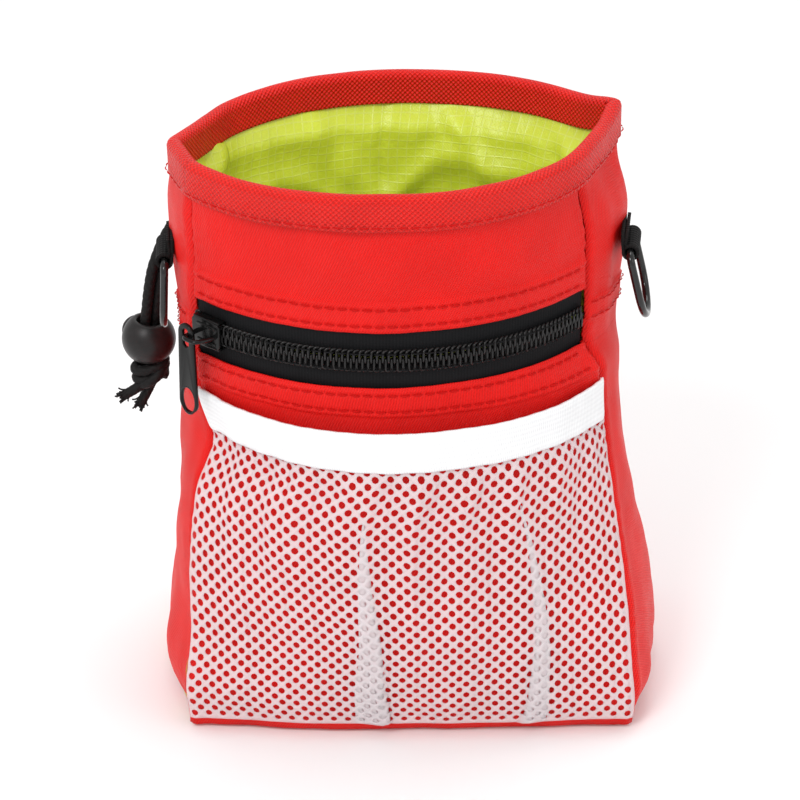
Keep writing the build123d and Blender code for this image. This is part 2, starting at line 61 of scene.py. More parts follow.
CORD_ROUTE = [
    (-61.8, 13.0, 143.8),
    (-67.0, 14.0, 141.0),
    (-71.4, 14.0, 133.4),
    (-76.0, 14.0, 121.0),
    (-78.2, 14.0, 96.0),
]
STRAND_STEP = 1.68
STRAND_ROLL = (0.0, 0.0, 20.0, 40.0, 40.0)
LOCK_AT = (-77.6, 14.0, 103.0)
LOCK_R, LOCK_H, LOCK_BORE = 8.1, 12.6, 3.9
PLUNGER_R, PLUNGER_OUT, PLUNGER_DIR = 4.0, 9.3, 130.0
KNOT_AT = (-77.6, 13.4, 91.6)
EXIT_YAW, EXIT_Z, EXIT_R = 155.0, 141.8, 4.7
RING_WIRE, RING_W, RING_H, RING_CORNER, RING_Z = 1.15, 20.0, 22.0, 2.5, 139.5
TAB_W, TAB_T, TAB_RISE = 14.0, 1.2, 6.5
RING_YAW = {"left": 184.0, "right": -7.0}
RING_LEAN = {"left": 3.0, "right": 14.0}
CLIP_W, CLIP_L, CLIP_T, CLIP_GAP, CLIP_Z = 20.0, 52.0, 1.2, 7.0, 151.0
PATCH_W, PATCH_H, PATCH_T = 38.0, 46.0, 1.4
RIVET_HEAD_R, RIVET_Y = 3.6, (-15.0, -27.0)
BRIDGE_OUT, BRIDGE_HALF = 8.55, 3.0
PULL_L, PULL_W, PULL_T, PULL_OUT = 29.5, 7.2, 1.1, 6.95

# ---- Visual dimensions ------------------------------------------------------------------------
FOLD_FROM = 148.0  # above this height the gussets fold flat towards the rim
HEM = 9.0  # width of the doubled cloth beside the zipper
STITCH_PITCH, STITCH_L, STITCH_W = 3.5, 2.75, 0.52
COIL_PITCH, COIL_REACH, COIL_HIGH = 1.6, 3.3, 1.2
HOLE_PITCH, ROW_PITCH, HOLE_W, HOLE_H = 4.05, 2.1, 1.95, 2.3
CAMERA_ELEVATION, CAMERA_DISTANCE, CAMERA_TARGET_Z, CAMERA_LENS = 28.0, 800.0, 88.0, 121.0
CAMERA_SHIFT = (-2.4, 1.2)  # millimetres to the right and up, so that the pouch sits as framed

FRONT_R = (FRONT_HALF**2 + FRONT_BULGE**2) / (2 * FRONT_BULGE)
FRONT_C = FRONT_CORNER_Y - FRONT_BULGE + FRONT_R
FRONT_ANGLE = math.degrees(math.asin(FRONT_HALF / FRONT_R))
LEFT_X = -FRONT_R * math.sin(math.radians(FRONT_LEFT))
LEFT_Y = FRONT_C - FRONT_R * math.cos(math.radians(FRONT_LEFT))
BACK_R = (BACK_HALF**2 + BACK_BULGE**2) / (2 * BACK_BULGE)
BACK_C = BACK_CORNER_Y + BACK_BULGE - BACK_R
WALLS = {
    "front": ("front_left", "front_mid", "front_right"),
    "right": ("front_right", "right_mid", "back_right"),
    "back": ("back_right", "back_mid", "back_left"),
    "left": ("back_left", "left_mid", "front_left"),
}
MOUTH = {
    "front_left": (LEFT_X, LEFT_Y),
    "front_mid": (0.0, FRONT_CORNER_Y - FRONT_BULGE),
    "front_right": (FRONT_HALF, FRONT_CORNER_Y),
    "right_mid": FOLD_RIGHT,
    "back_right": (BACK_HALF, BACK_CORNER_Y),
    "back_mid": (0.0, BACK_CORNER_Y + BACK_BULGE),
    "back_left": (-BACK_HALF, BACK_CORNER_Y),
    "left_mid": FOLD_LEFT,
}
BASE = {
    "front_left": (-BASE_HALF, -BASE_CORNER_Y),
    "front_mid": (0.0, -BASE_CORNER_Y - BASE_BULGE),
    "front_right": (BASE_HALF, -BASE_CORNER_Y),
    "right_mid": (BASE_FOLD, 0.0),
    "back_right": (BASE_HALF, BASE_CORNER_Y),
    "back_mid": (0.0, BASE_CORNER_Y + BASE_BULGE),
    "back_left": (-BASE_HALF, BASE_CORNER_Y),
    "left_mid": (-BASE_FOLD, 0.0),
}


# ---- Camera, light, floor ---------------------------------------------------------------------
def make_camera():
    e = math.radians(CAMERA_ELEVATION)
    back = Vector((0.0, -math.cos(e), math.sin(e)))
    up = Vector((0.0, math.sin(e), math.cos(e)))
    target = Vector((0.0, 0.0, CAMERA_TARGET_Z))
    place = target + back * CAMERA_DISTANCE + Vector((CAMERA_SHIFT[0], 0, 0)) + up * CAMERA_SHIFT[1]
    data = bpy.data.cameras.new("camera")
    data.lens, data.sensor_width = CAMERA_LENS, 36.0
    data.clip_start, data.clip_end = 0.05, 20.0
    camera = bpy.data.objects.new("camera", data)
    camera.location = place * MM
    camera.rotation_mode = "QUATERNION"
    camera.rotation_quaternion = (-back).to_track_quat("-Z", "Y")
    bpy.context.collection.objects.link(camera)
    bpy.context.scene.camera = camera


def area_light(name, place, aim, size, power):
    data = bpy.data.lights.new(name, "AREA")
    data.shape, data.size, data.energy = "DISK", size, power
    light = bpy.data.objects.new(name, data)
    light.location = place
    light.rotation_mode = "QUATERNION"
    light.rotation_quaternion = (Vector(aim) - Vector(place)).to_track_quat("-Z", "Y")
    bpy.context.collection.objects.link(light)


def make_studio():
    world = bpy.data.worlds.new("studio")
    world.use_nodes = True
    world.node_tree.nodes["Background"].inputs["Color"].default_value = (1.0, 1.0, 1.0, 1.0)
    world.node_tree.nodes["Background"].inputs["Strength"].default_value = 0.86
    bpy.context.scene.world = world
    bpy.context.scene.view_settings.view_transform = "Standard"
    area_light("key", (-0.45, -0.75, 0.95), (0, 0, 0.10), 0.45, 5.4)
    area_light("fill", (0.75, -0.55, 0.55), (0, 0, 0.10), 0.50, 0.8)
    area_light("top", (0.05, 0.25, 1.10), (0, 0, 0.12), 0.50, 2.6)
    half = 3.0
    floor = mesh_object("floor", [(-half / MM, -half / MM, 0), (half / MM, -half / MM, 0),
                                  (half / MM, half / MM, 0), (-half / MM, half / MM, 0)], [(0, 1, 2, 3)])
    white = new_material("floor_white", (0.93, 0.93, 0.93), 0.55)
    floor.data.materials.append(white)


# ---- Meshes -----------------------------------------------------------------------------------
def mesh_object(name, verts, faces, uvs=None):
    """A smooth-shaded object from points in millimetres, with one UV in millimetres per point."""
    mesh = bpy.data.meshes.new(name)
    mesh.from_pydata([tuple(float(c) * MM for c in v) for v in verts], [], [tuple(map(int, f)) for f in faces])
    if uvs is not None:
        layer = mesh.uv_layers.new(name="UVMap")
        uvs = np.asarray(uvs, dtype=float).reshape(-1, 2)
        loops = np.empty(len(mesh.loops), dtype=np.int32)
        mesh.loops.foreach_get("vertex_index", loops)
        layer.data.foreach_set("uv", uvs[loops].ravel())
    mesh.shade_smooth()
    mesh.update()
    obj = bpy.data.objects.new(name, mesh)
    bpy.context.collection.objects.link(obj)
    return obj


def grid_faces(rows, cols, offset=0, wrap=False):
    """Quads of a grid stored row by row. wrap joins the last column to the first."""
    faces = []
    for i in range(rows - 1):
        for j in range(cols if wrap else cols - 1):
            k = (j + 1) % cols
            a, b = offset + i * cols + j, offset + i * cols + k
            faces.append((a, b, b + cols, a + cols))
    return faces


def grid_object(name, points, uvs, wrap=False):
    rows, cols = points.shape[:2]
    return mesh_object(name, points.reshape(-1, 3), grid_faces(rows, cols, 0, wrap), uvs.reshape(-1, 2))


def bake(obj):
    """Applies the object's modifiers."""
    graph = bpy.context.evaluated_depsgraph_get()
    mesh = bpy.data.meshes.new_from_object(obj.evaluated_get(graph), preserve_all_data_layers=True, depsgraph=graph)
    obj.modifiers.clear()
    old, obj.data = obj.data, mesh
    bpy.data.meshes.remove(old)
    mesh.shade_smooth()
    return obj


def thicken(obj, thickness, side=-1.0):
    mod = obj.modifiers.new("thick", "SOLIDIFY")
    mod.thickness, mod.offset, mod.use_even_offset = thickness * MM, side, False
    return bake(obj)


def round_edges(obj, width, segments=3, angle=30.0):
    mod = obj.modifiers.new("round", "BEVEL")
    mod.width, mod.segments, mod.limit_method, mod.angle_limit = width * MM, segments, "ANGLE", math.radians(angle)
    mod.harden_normals = False
    return bake(obj)


def join(name, objects):
    """One object from several."""
    target = bmesh.new()
    for obj in objects:
        target.from_mesh(obj.data)
    mesh = bpy.data.meshes.new(name)
    target.to_mesh(mesh)
    target.free()
    mesh.shade_smooth()
    joined = bpy.data.objects.new(name, mesh)
    bpy.context.collection.objects.link(joined)
    for obj in objects:
        data = obj.data
        bpy.data.objects.remove(obj)
        bpy.data.meshes.remove(data)
    return joined


def finish_piece(obj, body, material, slot, *nodes):
    obj.data.materials.clear()
    obj.data.materials.append(material)
    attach(obj, body)
    if nodes:
        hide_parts(*nodes)
    return obj


# ---- The bag's outline ------------------------------------------------------------------------
def to_world(point):
    a = math.radians(MOUTH_TWIST)
    x, y = point
    return (x * math.cos(a) - y * math.sin(a) + MOUTH_SHIFT, x * math.sin(a) + y * math.cos(a))


def smooth(t):
    t = np.clip(t, 0.0, 1.0)
    return t * t * (3 - 2 * t)


def step(x, edge, width):
    """0 before the edge and 1 after it."""
    return smooth((x - edge) / width + 0.5)


def near(x, centre, width):
    return np.exp(-(((x - centre) / width) ** 2))


def corner(name, z):
    s = smooth((z - BASE_Z) / (MOUTH_Z - BASE_Z))[..., None]
    return np.array(BASE[name]) * (1 - s) + np.array(to_world(MOUTH[name])) * s + seam_shift(name, z)


def seam_shift(name, z):
    """The sewn seams wander: the mesh pocket pulls the front ones, and the rim folds the rear left one."""
    x = y = np.zeros_like(z)
    if name == "front_left":
        x = 4.6 * near(z, 89, 10) + 1.8 * near(z, 32, 14) + 1.6 * near(z, 4, 9)
    if name == "front_right":
        x = 5.5 * smooth((118 - z) / 12) * smooth((z - 8) / 75) + 0.8 * near(z, 10, 9)
        x = x - 2.6 * smooth((z - 148) / 18)
    if name == "back_left":
        x = 4.5 * smooth((z - 150) / 25)
        y = 1.2 * smooth((z - 150) / 25)
    return np.stack([x, y], -1)


def arc_at(a, m, b, t):
    """Points of the arc through a, m and b at fraction t of its angle."""
    am, ab = m - a, b - a
    d = 2 * (am[..., 0] * ab[..., 1] - am[..., 1] * ab[..., 0])
    am2, ab2 = (am**2).sum(-1), (ab**2).sum(-1)
    u = np.stack([ab[..., 1] * am2 - am[..., 1] * ab2, am[..., 0] * ab2 - ab[..., 0] * am2], -1) / d[..., None]
    centre = a + u
    start = np.arctan2(-u[..., 1], -u[..., 0])
    to_b = b - centre
    sweep = (np.arctan2(to_b[..., 1], to_b[..., 0]) - start + math.pi) % (2 * math.pi) - math.pi
    angle = start + sweep * t
    radius = np.sqrt((u**2).sum(-1))
    return centre + radius[..., None] * np.stack([np.cos(angle), np.sin(angle)], -1)


def wall_point(wall, t, z):
    t, z = np.broadcast_arrays(np.asarray(t, float), np.asarray(z, float))
    a, m, b = (corner(n, z) for n in WALLS[wall])
    plan = arc_at(a, m, b, t)
    if wall in ("left", "right"):
        folded = 0.9 * smooth((z - FOLD_FROM) / 26)[..., None]
        plan = plan * (1 - folded) + fold_at(a, m, b, t) * folded
    return np.concatenate([plan, z[..., None]], -1)


def fold_at(a, m, b, t):
    """Points of the two straight lines a to m and m to b: the gussets are folded in two at the rim."""
    first = np.linalg.norm(m - a, axis=-1)
    part = first / (first + np.linalg.norm(b - m, axis=-1))
    near_part = np.clip(t / part, 0, 1)[..., None]
    far_part = np.clip((t - part) / (1 - part), 0, 1)[..., None]
    return a + (m - a) * near_part + (b - m) * far_part


def wall_normal(wall, t, z):
    across = wall_point(wall, np.asarray(t) + 0.002, z) - wall_point(wall, np.asarray(t) - 0.002, z)
    up = wall_point(wall, t, np.asarray(z) + 0.5) - wall_point(wall, t, np.asarray(z) - 0.5)
    n = np.cross(across, up)
    return n / np.linalg.norm(n, axis=-1, keepdims=True)


def place(wall, t, z, out):
    """A point that far out of the bag from a wall."""
    out = np.asarray(out, float)
    return wall_point(wall, t, z) + wall_normal(wall, t, z) * out[..., None]


def wall_length(wall, z):
    p = wall_point(wall, np.linspace(0, 1, 60), np.full(60, float(z)))
    return float(np.linalg.norm(np.diff(p, axis=0), axis=1).sum())


LENGTHS = {w: np.array([wall_length(w, z) for z in range(0, 181, 5)]) for w in WALLS}


def width_at(wall, z):
    return np.interp(z, np.arange(0, 181, 5), LENGTHS[wall])


def lumps(points, size, seed=0.0):
    """Smooth noise of about -1 to 1 at each point, with lumps of that size (one per axis)."""
    size = np.broadcast_to(np.asarray(size, float), (3,))
    flat = points.reshape(-1, 3) / size + seed
    values = np.array([noise.noise(Vector(p)) for p in flat])
    return values.reshape(points.shape[:-1])


def relief(wall, t, z):
    """How far the cloth stands out of the plain outline: soft folds, hems and seams."""
    p = wall_point(wall, t, z)
    t, z = np.broadcast_arrays(t, z)
    side = wall in ("left", "right")
    calm = 1 - 0.75 * near(z, ZIP_Z, 16.0) * (wall == "front")
    calm = calm * (1 - 0.7 * step(z, RIM_Z - 14, 14))
    folds = 1.5 * lumps(p, (34, 34, 46), 3.1) + 0.8 * lumps(p, (13, 13, 34), 8.7) + 0.35 * lumps(p, 8, 1.9)
    out = folds * calm * (1.25 if side else 0.9)
    gap = np.minimum(t, 1 - t) * width_at(wall, z)
    out = out * (0.35 + 0.65 * smooth(gap / 9.0))
    out = out - 0.95 * near(gap, 0.0, 0.9) + 0.35 * near(gap, 2.6, 1.6)
    out = out + 0.22 * np.sin(z * 0.95 + 3 * np.sin(z * 0.21)) * near(gap, 1.5, 2.5)
    tuck = 1 - np.clip(z / 15.0, 0, 1)
    out = out - (5.0 if side else 2.2) * tuck**2
    out = out + (-2.6 if wall == "left" else 0.7) * near(z, 36, 30)
    if side:
        out = out + gusset_relief(wall, t, z)
    if wall == "front":
        out = out + front_relief(t, z)
    return out


def gusset_relief(wall, t, z):
    """The level felled seam, and the fold that runs up the middle of each gusset."""
    low = ZIP_Z + (3.0 if wall == "right" else 1.0) + 5.0 * (t - 0.5) * (1 if wall == "left" else -1)
    band = step(z, low - 8.0, 0.7) * (1 - step(z, low - 0.8, 0.7))
    pucker = 0.16 * np.sin(t * width_at(wall, z) * 1.9) * near(z, low - 4, 5.0)
    crease = 1.3 * near(t, 0.5, 0.06) * step(z, 128, 30) - 0.9 * near(t, 0.3, 0.09) * step(z, 100, 60)
    return 0.55 * band + pucker + crease


def front_relief(t, z):
    """The doubled cloth above and below the zipper, a little puckered by its stitches."""
    across = t * width_at("front", z)
    low, high = ZIP_Z - ZIP_OPEN / 2, ZIP_Z + ZIP_OPEN / 2
    out = 0.0
    for edge, sign in ((low, -1), (high, 1)):
        d = (z - edge) * sign
        doubled = (1 - step(d, HEM, 1.2)) * step(d, -1.0, 1.0)
        rounded = 0.5 * near(d, 0.0, 0.5)
        pucker = 0.13 * np.sin(across * 0.95 + 2 * np.sin(across * 0.13)) * near(d, 5.0, 5.0)
        groove = -0.22 * (near(d, 2.2, 0.55) + near(d, 7.2, 0.55))
        out = out + 0.55 * doubled - rounded + pucker + groove
    return out


def levels(low, high, pitch, edges=(), fine=0.35, reach=1.2):
    """Heights from low to high, closer together around the given edges."""
    out = set(np.round(np.arange(low, high, pitch), 3)) | {low, high}
    for edge in edges:
        out |= set(np.round(np.arange(edge - reach, edge + reach + fine, fine), 3))
    return np.array(sorted(z for z in out if low <= z <= high))


def panel(name, wall, low, high, edges=(), pitch=2.0):
    """One cloth panel, from seam to seam."""
    width = wall_length(wall, (low + high) / 2)
    fine = np.array([0.0, 0.4, 0.8, 1.3, 2.0, 3.0, 4.2])
    middle = np.arange(6.0, width - 5.9, pitch)
    across = np.concatenate([fine, middle, width - fine[::-1]]) / width
    t, z = np.meshgrid(across, levels(low, high, pitch, edges))
    points = place(wall, t, z, relief(wall, t, z))
    obj = grid_object(name, points, np.stack([t * width, z], -1))
    return thicken(obj, 0.9)


# ---- Materials --------------------------------------------------------------------------------
def new_material(name, colour, roughness, **sockets):
    material = bpy.data.materials.new(name)
    material.use_nodes = True
    shader = material.node_tree.nodes["Principled BSDF"]
    shader.inputs["Base Color"].default_value = (*colour, 1.0)
    shader.inputs["Roughness"].default_value = roughness
    for key, value in sockets.items():
        shader.inputs[key.replace("_", " ")].default_value = value
    return material


class Nodes:
    """Short calls for a material's node tree."""

    def __init__(self, material):
        self.tree = material.node_tree
        self.shader = self.tree.nodes["Principled BSDF"]

    def add(self, kind, **settings):
        node = self.tree.nodes.new(kind)
        for key, value in settings.items():
            setattr(node, key, value)
        return node

    def link(self, source, target):
        self.tree.links.new(source, target)

    def math(self, operation, a, b=None, c=None):
        node = self.add("ShaderNodeMath", operation=operation)
        for i, value in enumerate((a, b, c)):
            if value is None:
                continue
            if isinstance(value, (int, float)):
                node.inputs[i].default_value = value
            else:
                self.link(value, node.inputs[i])
        return node.outputs[0]

    def uv(self):
        """The two UV coordinates, in millimetres."""
        split = self.add("ShaderNodeSeparateXYZ")
        self.link(self.add("ShaderNodeUVMap", uv_map="UVMap").outputs[0], split.inputs[0])
        return split.outputs[0], split.outputs[1]

    def wave(self, value, pitch, phase=0.0):
        """A sine of that pitch along a coordinate."""
        return self.math("SINE", self.math("MULTIPLY_ADD", value, 2 * math.pi / pitch, phase))

    def noise(self, size, detail=3.0):
        """Object-space noise with features of that size in millimetres."""
        node = self.add("ShaderNodeTexNoise")
        node.inputs["Scale"].default_value = 1.0 / (size * MM)
        node.inputs["Detail"].default_value = detail
        self.link(self.add("ShaderNodeTexCoord").outputs["Object"], node.inputs["Vector"])
        return node.outputs["Fac"]

    def colours(self, factor, dark, light, low=0.0, high=1.0):
        ramp = self.add("ShaderNodeMapRange")
        ramp.inputs["From Min"].default_value, ramp.inputs["From Max"].default_value = low, high
        self.link(factor, ramp.inputs["Value"])
        mix = self.add("ShaderNodeMix", data_type="RGBA")
        mix.inputs[6].default_value, mix.inputs[7].default_value = (*dark, 1), (*light, 1)
        self.link(ramp.outputs[0], mix.inputs[0])
        self.link(mix.outputs[2], self.shader.inputs["Base Color"])

    def bump(self, height, distance, strength=1.0, chain=None):
        node = self.add("ShaderNodeBump")
        node.inputs["Strength"].default_value = strength
        node.inputs["Distance"].default_value = distance * MM
        self.link(height, node.inputs["Height"])
        if chain is not None:
            self.link(chain, node.inputs["Normal"])
        self.link(node.outputs[0], self.shader.inputs["Normal"])
        return node.outputs[0]


def shade(colour, factor):
    return tuple(min(1.0, c * factor) for c in colour)


def woven(name, colour, pitch, depth, roughness=0.6, gloss=0.15, twill=0.0, dark=0.72, rough_lumps=0.0, alpha=1.0):
    """Cloth with a plain or twill weave of that thread pitch. Its colour is painted shade in the weave's low parts and
    painted light on its tops, mixed with random tone.
    """
    material = new_material(name, colour, roughness, Specular_IOR_Level=gloss, Alpha=alpha)
    nodes = Nodes(material)
    u, v = nodes.uv()
    if twill:
        u = nodes.math("MULTIPLY_ADD", v, twill, u)
    weave = nodes.math("MULTIPLY", nodes.wave(u, pitch * 2), nodes.wave(v, pitch * 2))
    height = nodes.math("MULTIPLY_ADD", weave, 0.5, 0.5)
    chain = nodes.bump(height, depth)
    if rough_lumps:
        nodes.bump(nodes.noise(3.0), rough_lumps, chain=chain)
    # Painted shade in the hollows between threads and painted light on their tops, following the weave's height; the
    # noise adds random tone.
    painted_light_and_tone = nodes.math("ADD", nodes.math("MULTIPLY", height, 0.6), nodes.math("MULTIPLY", nodes.noise(14.0), 0.4))
    nodes.colours(painted_light_and_tone, shade(colour, dark), shade(colour, 1.06), 0.1, 0.9)
    return material


def ribbed(name, colour, pitch, depth, roughness=0.6, along="v", cross=0.0, dark=0.6, gloss=0.12):
    """Webbing or tape whose ribs run across u or v, with a finer cross weave. Its colour is painted shade in the
    grooves and painted light on the ribs, mixed with random tone.
    """
    material = new_material(name, colour, roughness, Specular_IOR_Level=gloss)
    nodes = Nodes(material)
    u, v = nodes.uv()
    first, second = (v, u) if along == "v" else (u, v)
    height = nodes.math("MULTIPLY_ADD", nodes.wave(first, pitch), 0.5, 0.5)
    if cross:
        fine = nodes.math("MULTIPLY_ADD", nodes.wave(second, cross), 0.5, 0.5)
        height = nodes.math("ADD", nodes.math("MULTIPLY", height, 0.65), nodes.math("MULTIPLY", fine, 0.35))
    nodes.bump(height, depth)
    # Painted shade in the grooves and painted light on the ribs, following the rib height; the noise adds random tone.
    painted_light_and_tone = nodes.math("ADD", nodes.math("MULTIPLY", height, 0.7), nodes.math("MULTIPLY", nodes.noise(6.0), 0.3))
    nodes.colours(painted_light_and_tone, shade(colour, dark), shade(colour, 1.08), 0.15, 0.85)
    return material


def ripstop(name, colour):
    """Thin glossy nylon with a slightly raised thread every few millimetres, its line lifted towards white as a painted
    highlight.
    """
    material = new_material(name, colour, 0.33, Specular_IOR_Level=0.45)
    nodes = Nodes(material)
    u, v = nodes.uv()
    lines = [nodes.math("POWER", nodes.math("ABSOLUTE", nodes.wave(value, 5.6)), 40.0) for value in (u, v)]
    grid = nodes.math("MAXIMUM", *lines)
    weave = nodes.math("MULTIPLY", nodes.wave(u, 0.9), nodes.wave(v, 0.9))
    chain = nodes.bump(nodes.math("MULTIPLY_ADD", weave, 0.2, grid), 0.05)
    nodes.bump(nodes.noise(6.0, 4.0), 0.5, chain=chain)
    # Painted highlight: the colour is lifted towards white along the raised grid threads.
    nodes.colours(grid, colour, tuple(0.8 * c + 0.2 for c in colour), 0.0, 3.0)
    return material


def moulded(name, colour, roughness, coat=0.0, grain=0.02, gloss=0.25):
    """Moulded plastic or enamel, with a faint grain and uneven gloss."""
    material = new_material(name, colour, roughness, Coat_Weight=coat, Coat_Roughness=0.08, Specular_IOR_Level=gloss)
    nodes = Nodes(material)
    nodes.bump(nodes.noise(0.5), grain)
    span = nodes.add("ShaderNodeMapRange")
    span.inputs["To Min"].default_value, span.inputs["To Max"].default_value = roughness * 0.8, roughness * 1.25
    nodes.link(nodes.noise(5.0), span.inputs["Value"])
    nodes.link(span.outputs[0], nodes.shader.inputs["Roughness"])
    nodes.colours(nodes.noise(2.5), shade(colour, 0.75), shade(colour, 1.3), 0.3, 0.7)
    return material


def steel(name):
    material = new_material(name, (0.62, 0.62, 0.63), 0.28, Metallic=1.0)
    nodes = Nodes(material)
    stretched = nodes.add("ShaderNodeTexNoise")
    scale = nodes.add("ShaderNodeMapping")
    scale.inputs["Scale"].default_value = (1500.0, 1500.0, 60.0)
    nodes.link(nodes.add("ShaderNodeTexCoord").outputs["Object"], scale.inputs["Vector"])
    nodes.link(scale.outputs[0], stretched.inputs["Vector"])
    stretched.inputs["Scale"].default_value = 1.0
    nodes.bump(stretched.outputs["Fac"], 0.02)
    nodes.colours(nodes.noise(8.0), (0.52, 0.52, 0.53), (0.68, 0.68, 0.69), 0.3, 0.7)
    return material


RED = (0.92, 0.010, 0.007)
M = {
    "red": woven("red_polyester", RED, 0.40, 0.20, 0.45, 0.20, twill=0.5, dark=0.62, rough_lumps=0.12),
    "binding": woven("red_binding", (0.97, 0.012, 0.006), 0.74, 0.55, 0.42, 0.30, dark=0.50),
    "red_thread": woven("red_thread", (0.62, 0.006, 0.005), 0.3, 0.05, 0.6, 0.1),
    "lining": ripstop("lime_ripstop", (0.60, 0.70, 0.045)),
    # The mesh is white: the pink in its colour is painted red light, passed and bounced onto it from the red panel
    # behind.
    "mesh": woven("white_mesh", (0.95, 0.88, 0.90), 0.30, 0.08, 0.7, 0.1, dark=0.9, alpha=0.52),
    "elastic": ribbed("white_elastic", (0.88, 0.88, 0.89), 0.62, 0.12, 0.75, along="u", cross=1.5, dark=0.92),
    "tape": ribbed("black_tape", (0.009, 0.009, 0.010), 0.9, 0.06, 0.75, along="u", cross=0.5),
    "coil": moulded("black_coil", (0.008, 0.007, 0.007), 0.30, gloss=0.35),
    "enamel": moulded("black_enamel", (0.005, 0.005, 0.005), 0.20, coat=0.05, grain=0.01, gloss=0.22),
    "cord": woven("black_cord", (0.009, 0.008, 0.008), 0.22, 0.04, 0.6, 0.2, dark=0.6),
    "lock": moulded("black_lock", (0.012, 0.010, 0.010), 0.36, grain=0.02, gloss=0.3),
    "ring": moulded("black_ring", (0.007, 0.007, 0.007), 0.14, coat=0.15, grain=0.005, gloss=0.4),
    "webbing": ribbed("black_webbing", (0.012, 0.011, 0.011), 1.5, 0.30, 0.75, along="u", cross=0.8),
    "steel": steel("clip_steel"),
}


# ---- Tubes, stitches and curves ---------------------------------------------------------------
def frames_along(points, closed=False):
    """Tangent, side and up vectors along a line of points, without twist."""
    points = np.asarray(points, float)
    if closed:
        tangent = np.roll(points, -1, 0) - np.roll(points, 1, 0)
    else:
        tangent = np.gradient(points, axis=0)
    tangent /= np.linalg.norm(tangent, axis=1, keepdims=True)
    side = np.zeros_like(points)
    first = np.cross(tangent[0], (0.0, 0.0, 1.0))
    if np.linalg.norm(first) < 0.2:
        first = np.cross(tangent[0], (0.0, 1.0, 0.0))
    side[0] = first / np.linalg.norm(first)
    for i in range(1, len(points)):
        v = side[i - 1] - tangent[i] * np.dot(side[i - 1], tangent[i])
        side[i] = v / np.linalg.norm(v)
    return tangent, side, np.cross(tangent, side)


def tube(name, points, radius, around=16, closed=False, shape=None, flat=1.0):
    """A tube along points. shape(angle, distance) gives a factor on the radius."""
    points = np.asarray(points, float)
    tangent, side, up = frames_along(points, closed)
    distance = np.concatenate([[0], np.cumsum(np.linalg.norm(np.diff(points, axis=0), axis=1))])
    angle = np.linspace(0, 2 * math.pi, around, endpoint=False)
    radius = np.broadcast_to(np.asarray(radius, float), (len(points),))[:, None] * np.ones((1, around))
    if shape is not None:
        radius = radius * shape(angle[None, :], distance[:, None])
    ring = np.cos(angle)[None, :, None] * side[:, None, :] + flat * np.sin(angle)[None, :, None] * up[:, None, :]
    verts = points[:, None, :] + radius[..., None] * ring
    faces = grid_faces(len(points), around, 0, True)
    if closed:
        last = (len(points) - 1) * around
        faces += [(last + j, last + (j + 1) % around, (j + 1) % around, j) for j in range(around)]
    else:
        faces += [tuple(range(around))[::-1], tuple((len(points) - 1) * around + j for j in range(around))]
    uvs = np.stack(np.broadcast_arrays(angle[None, :] * radius.mean(), distance[:, None]), -1)
    return mesh_object(name, verts.reshape(-1, 3), faces, uvs)


def resample(points, pitch, closed=False):
    points = np.asarray(points, float)
    if closed:
        points = np.vstack([points, points[:1]])
    length = np.concatenate([[0], np.cumsum(np.linalg.norm(np.diff(points, axis=0), axis=1))])
    count = max(3, int(round(length[-1] / pitch)) + 1)
    at = np.linspace(0, length[-1], count)
    if closed:
        at = at[:-1]
    return np.stack([np.interp(at, length, points[:, k]) for k in range(3)], -1)


def spline_points(route, pitch):
    """Points along the smooth spline that has the route as its control points."""
    curve = bpy.data.curves.new("route", "CURVE")
    curve.dimensions = "3D"
    spline = curve.splines.new("NURBS")
    spline.points.add(len(route) - 1)
    for point, at in zip(spline.points, route):
        point.co = (*[c * MM for c in at], 1.0)
    spline.order_u = 3
    spline.use_endpoint_u = True
    spline.resolution_u = 24
    holder = bpy.data.objects.new("route", curve)
    bpy.context.collection.objects.link(holder)
    graph = bpy.context.evaluated_depsgraph_get()
    mesh = bpy.data.meshes.new_from_object(holder.evaluated_get(graph), depsgraph=graph)
    points = np.array([v.co for v in mesh.vertices]) / MM
    bpy.data.meshes.remove(mesh)
    bpy.data.objects.remove(holder)
    bpy.data.curves.remove(curve)
    return resample(points, pitch)


def braid(carriers, lead):
    """The surface of a round braid: strands that cross over and under each other."""

    def factor(angle, distance):
        a = (carriers * angle + 2 * math.pi * distance / lead) / (2 * math.pi)
        b = (carriers * angle - 2 * math.pi * distance / lead) / (2 * math.pi)
        over = (np.floor(a) + np.floor(b)) % 2
        hump_a, hump_b = np.sin(math.pi * (a % 1.0)), np.sin(math.pi * (b % 1.0))
        return 0.86 + 0.14 * np.where(over > 0.5, hump_a, hump_b) ** 0.6

    return factor


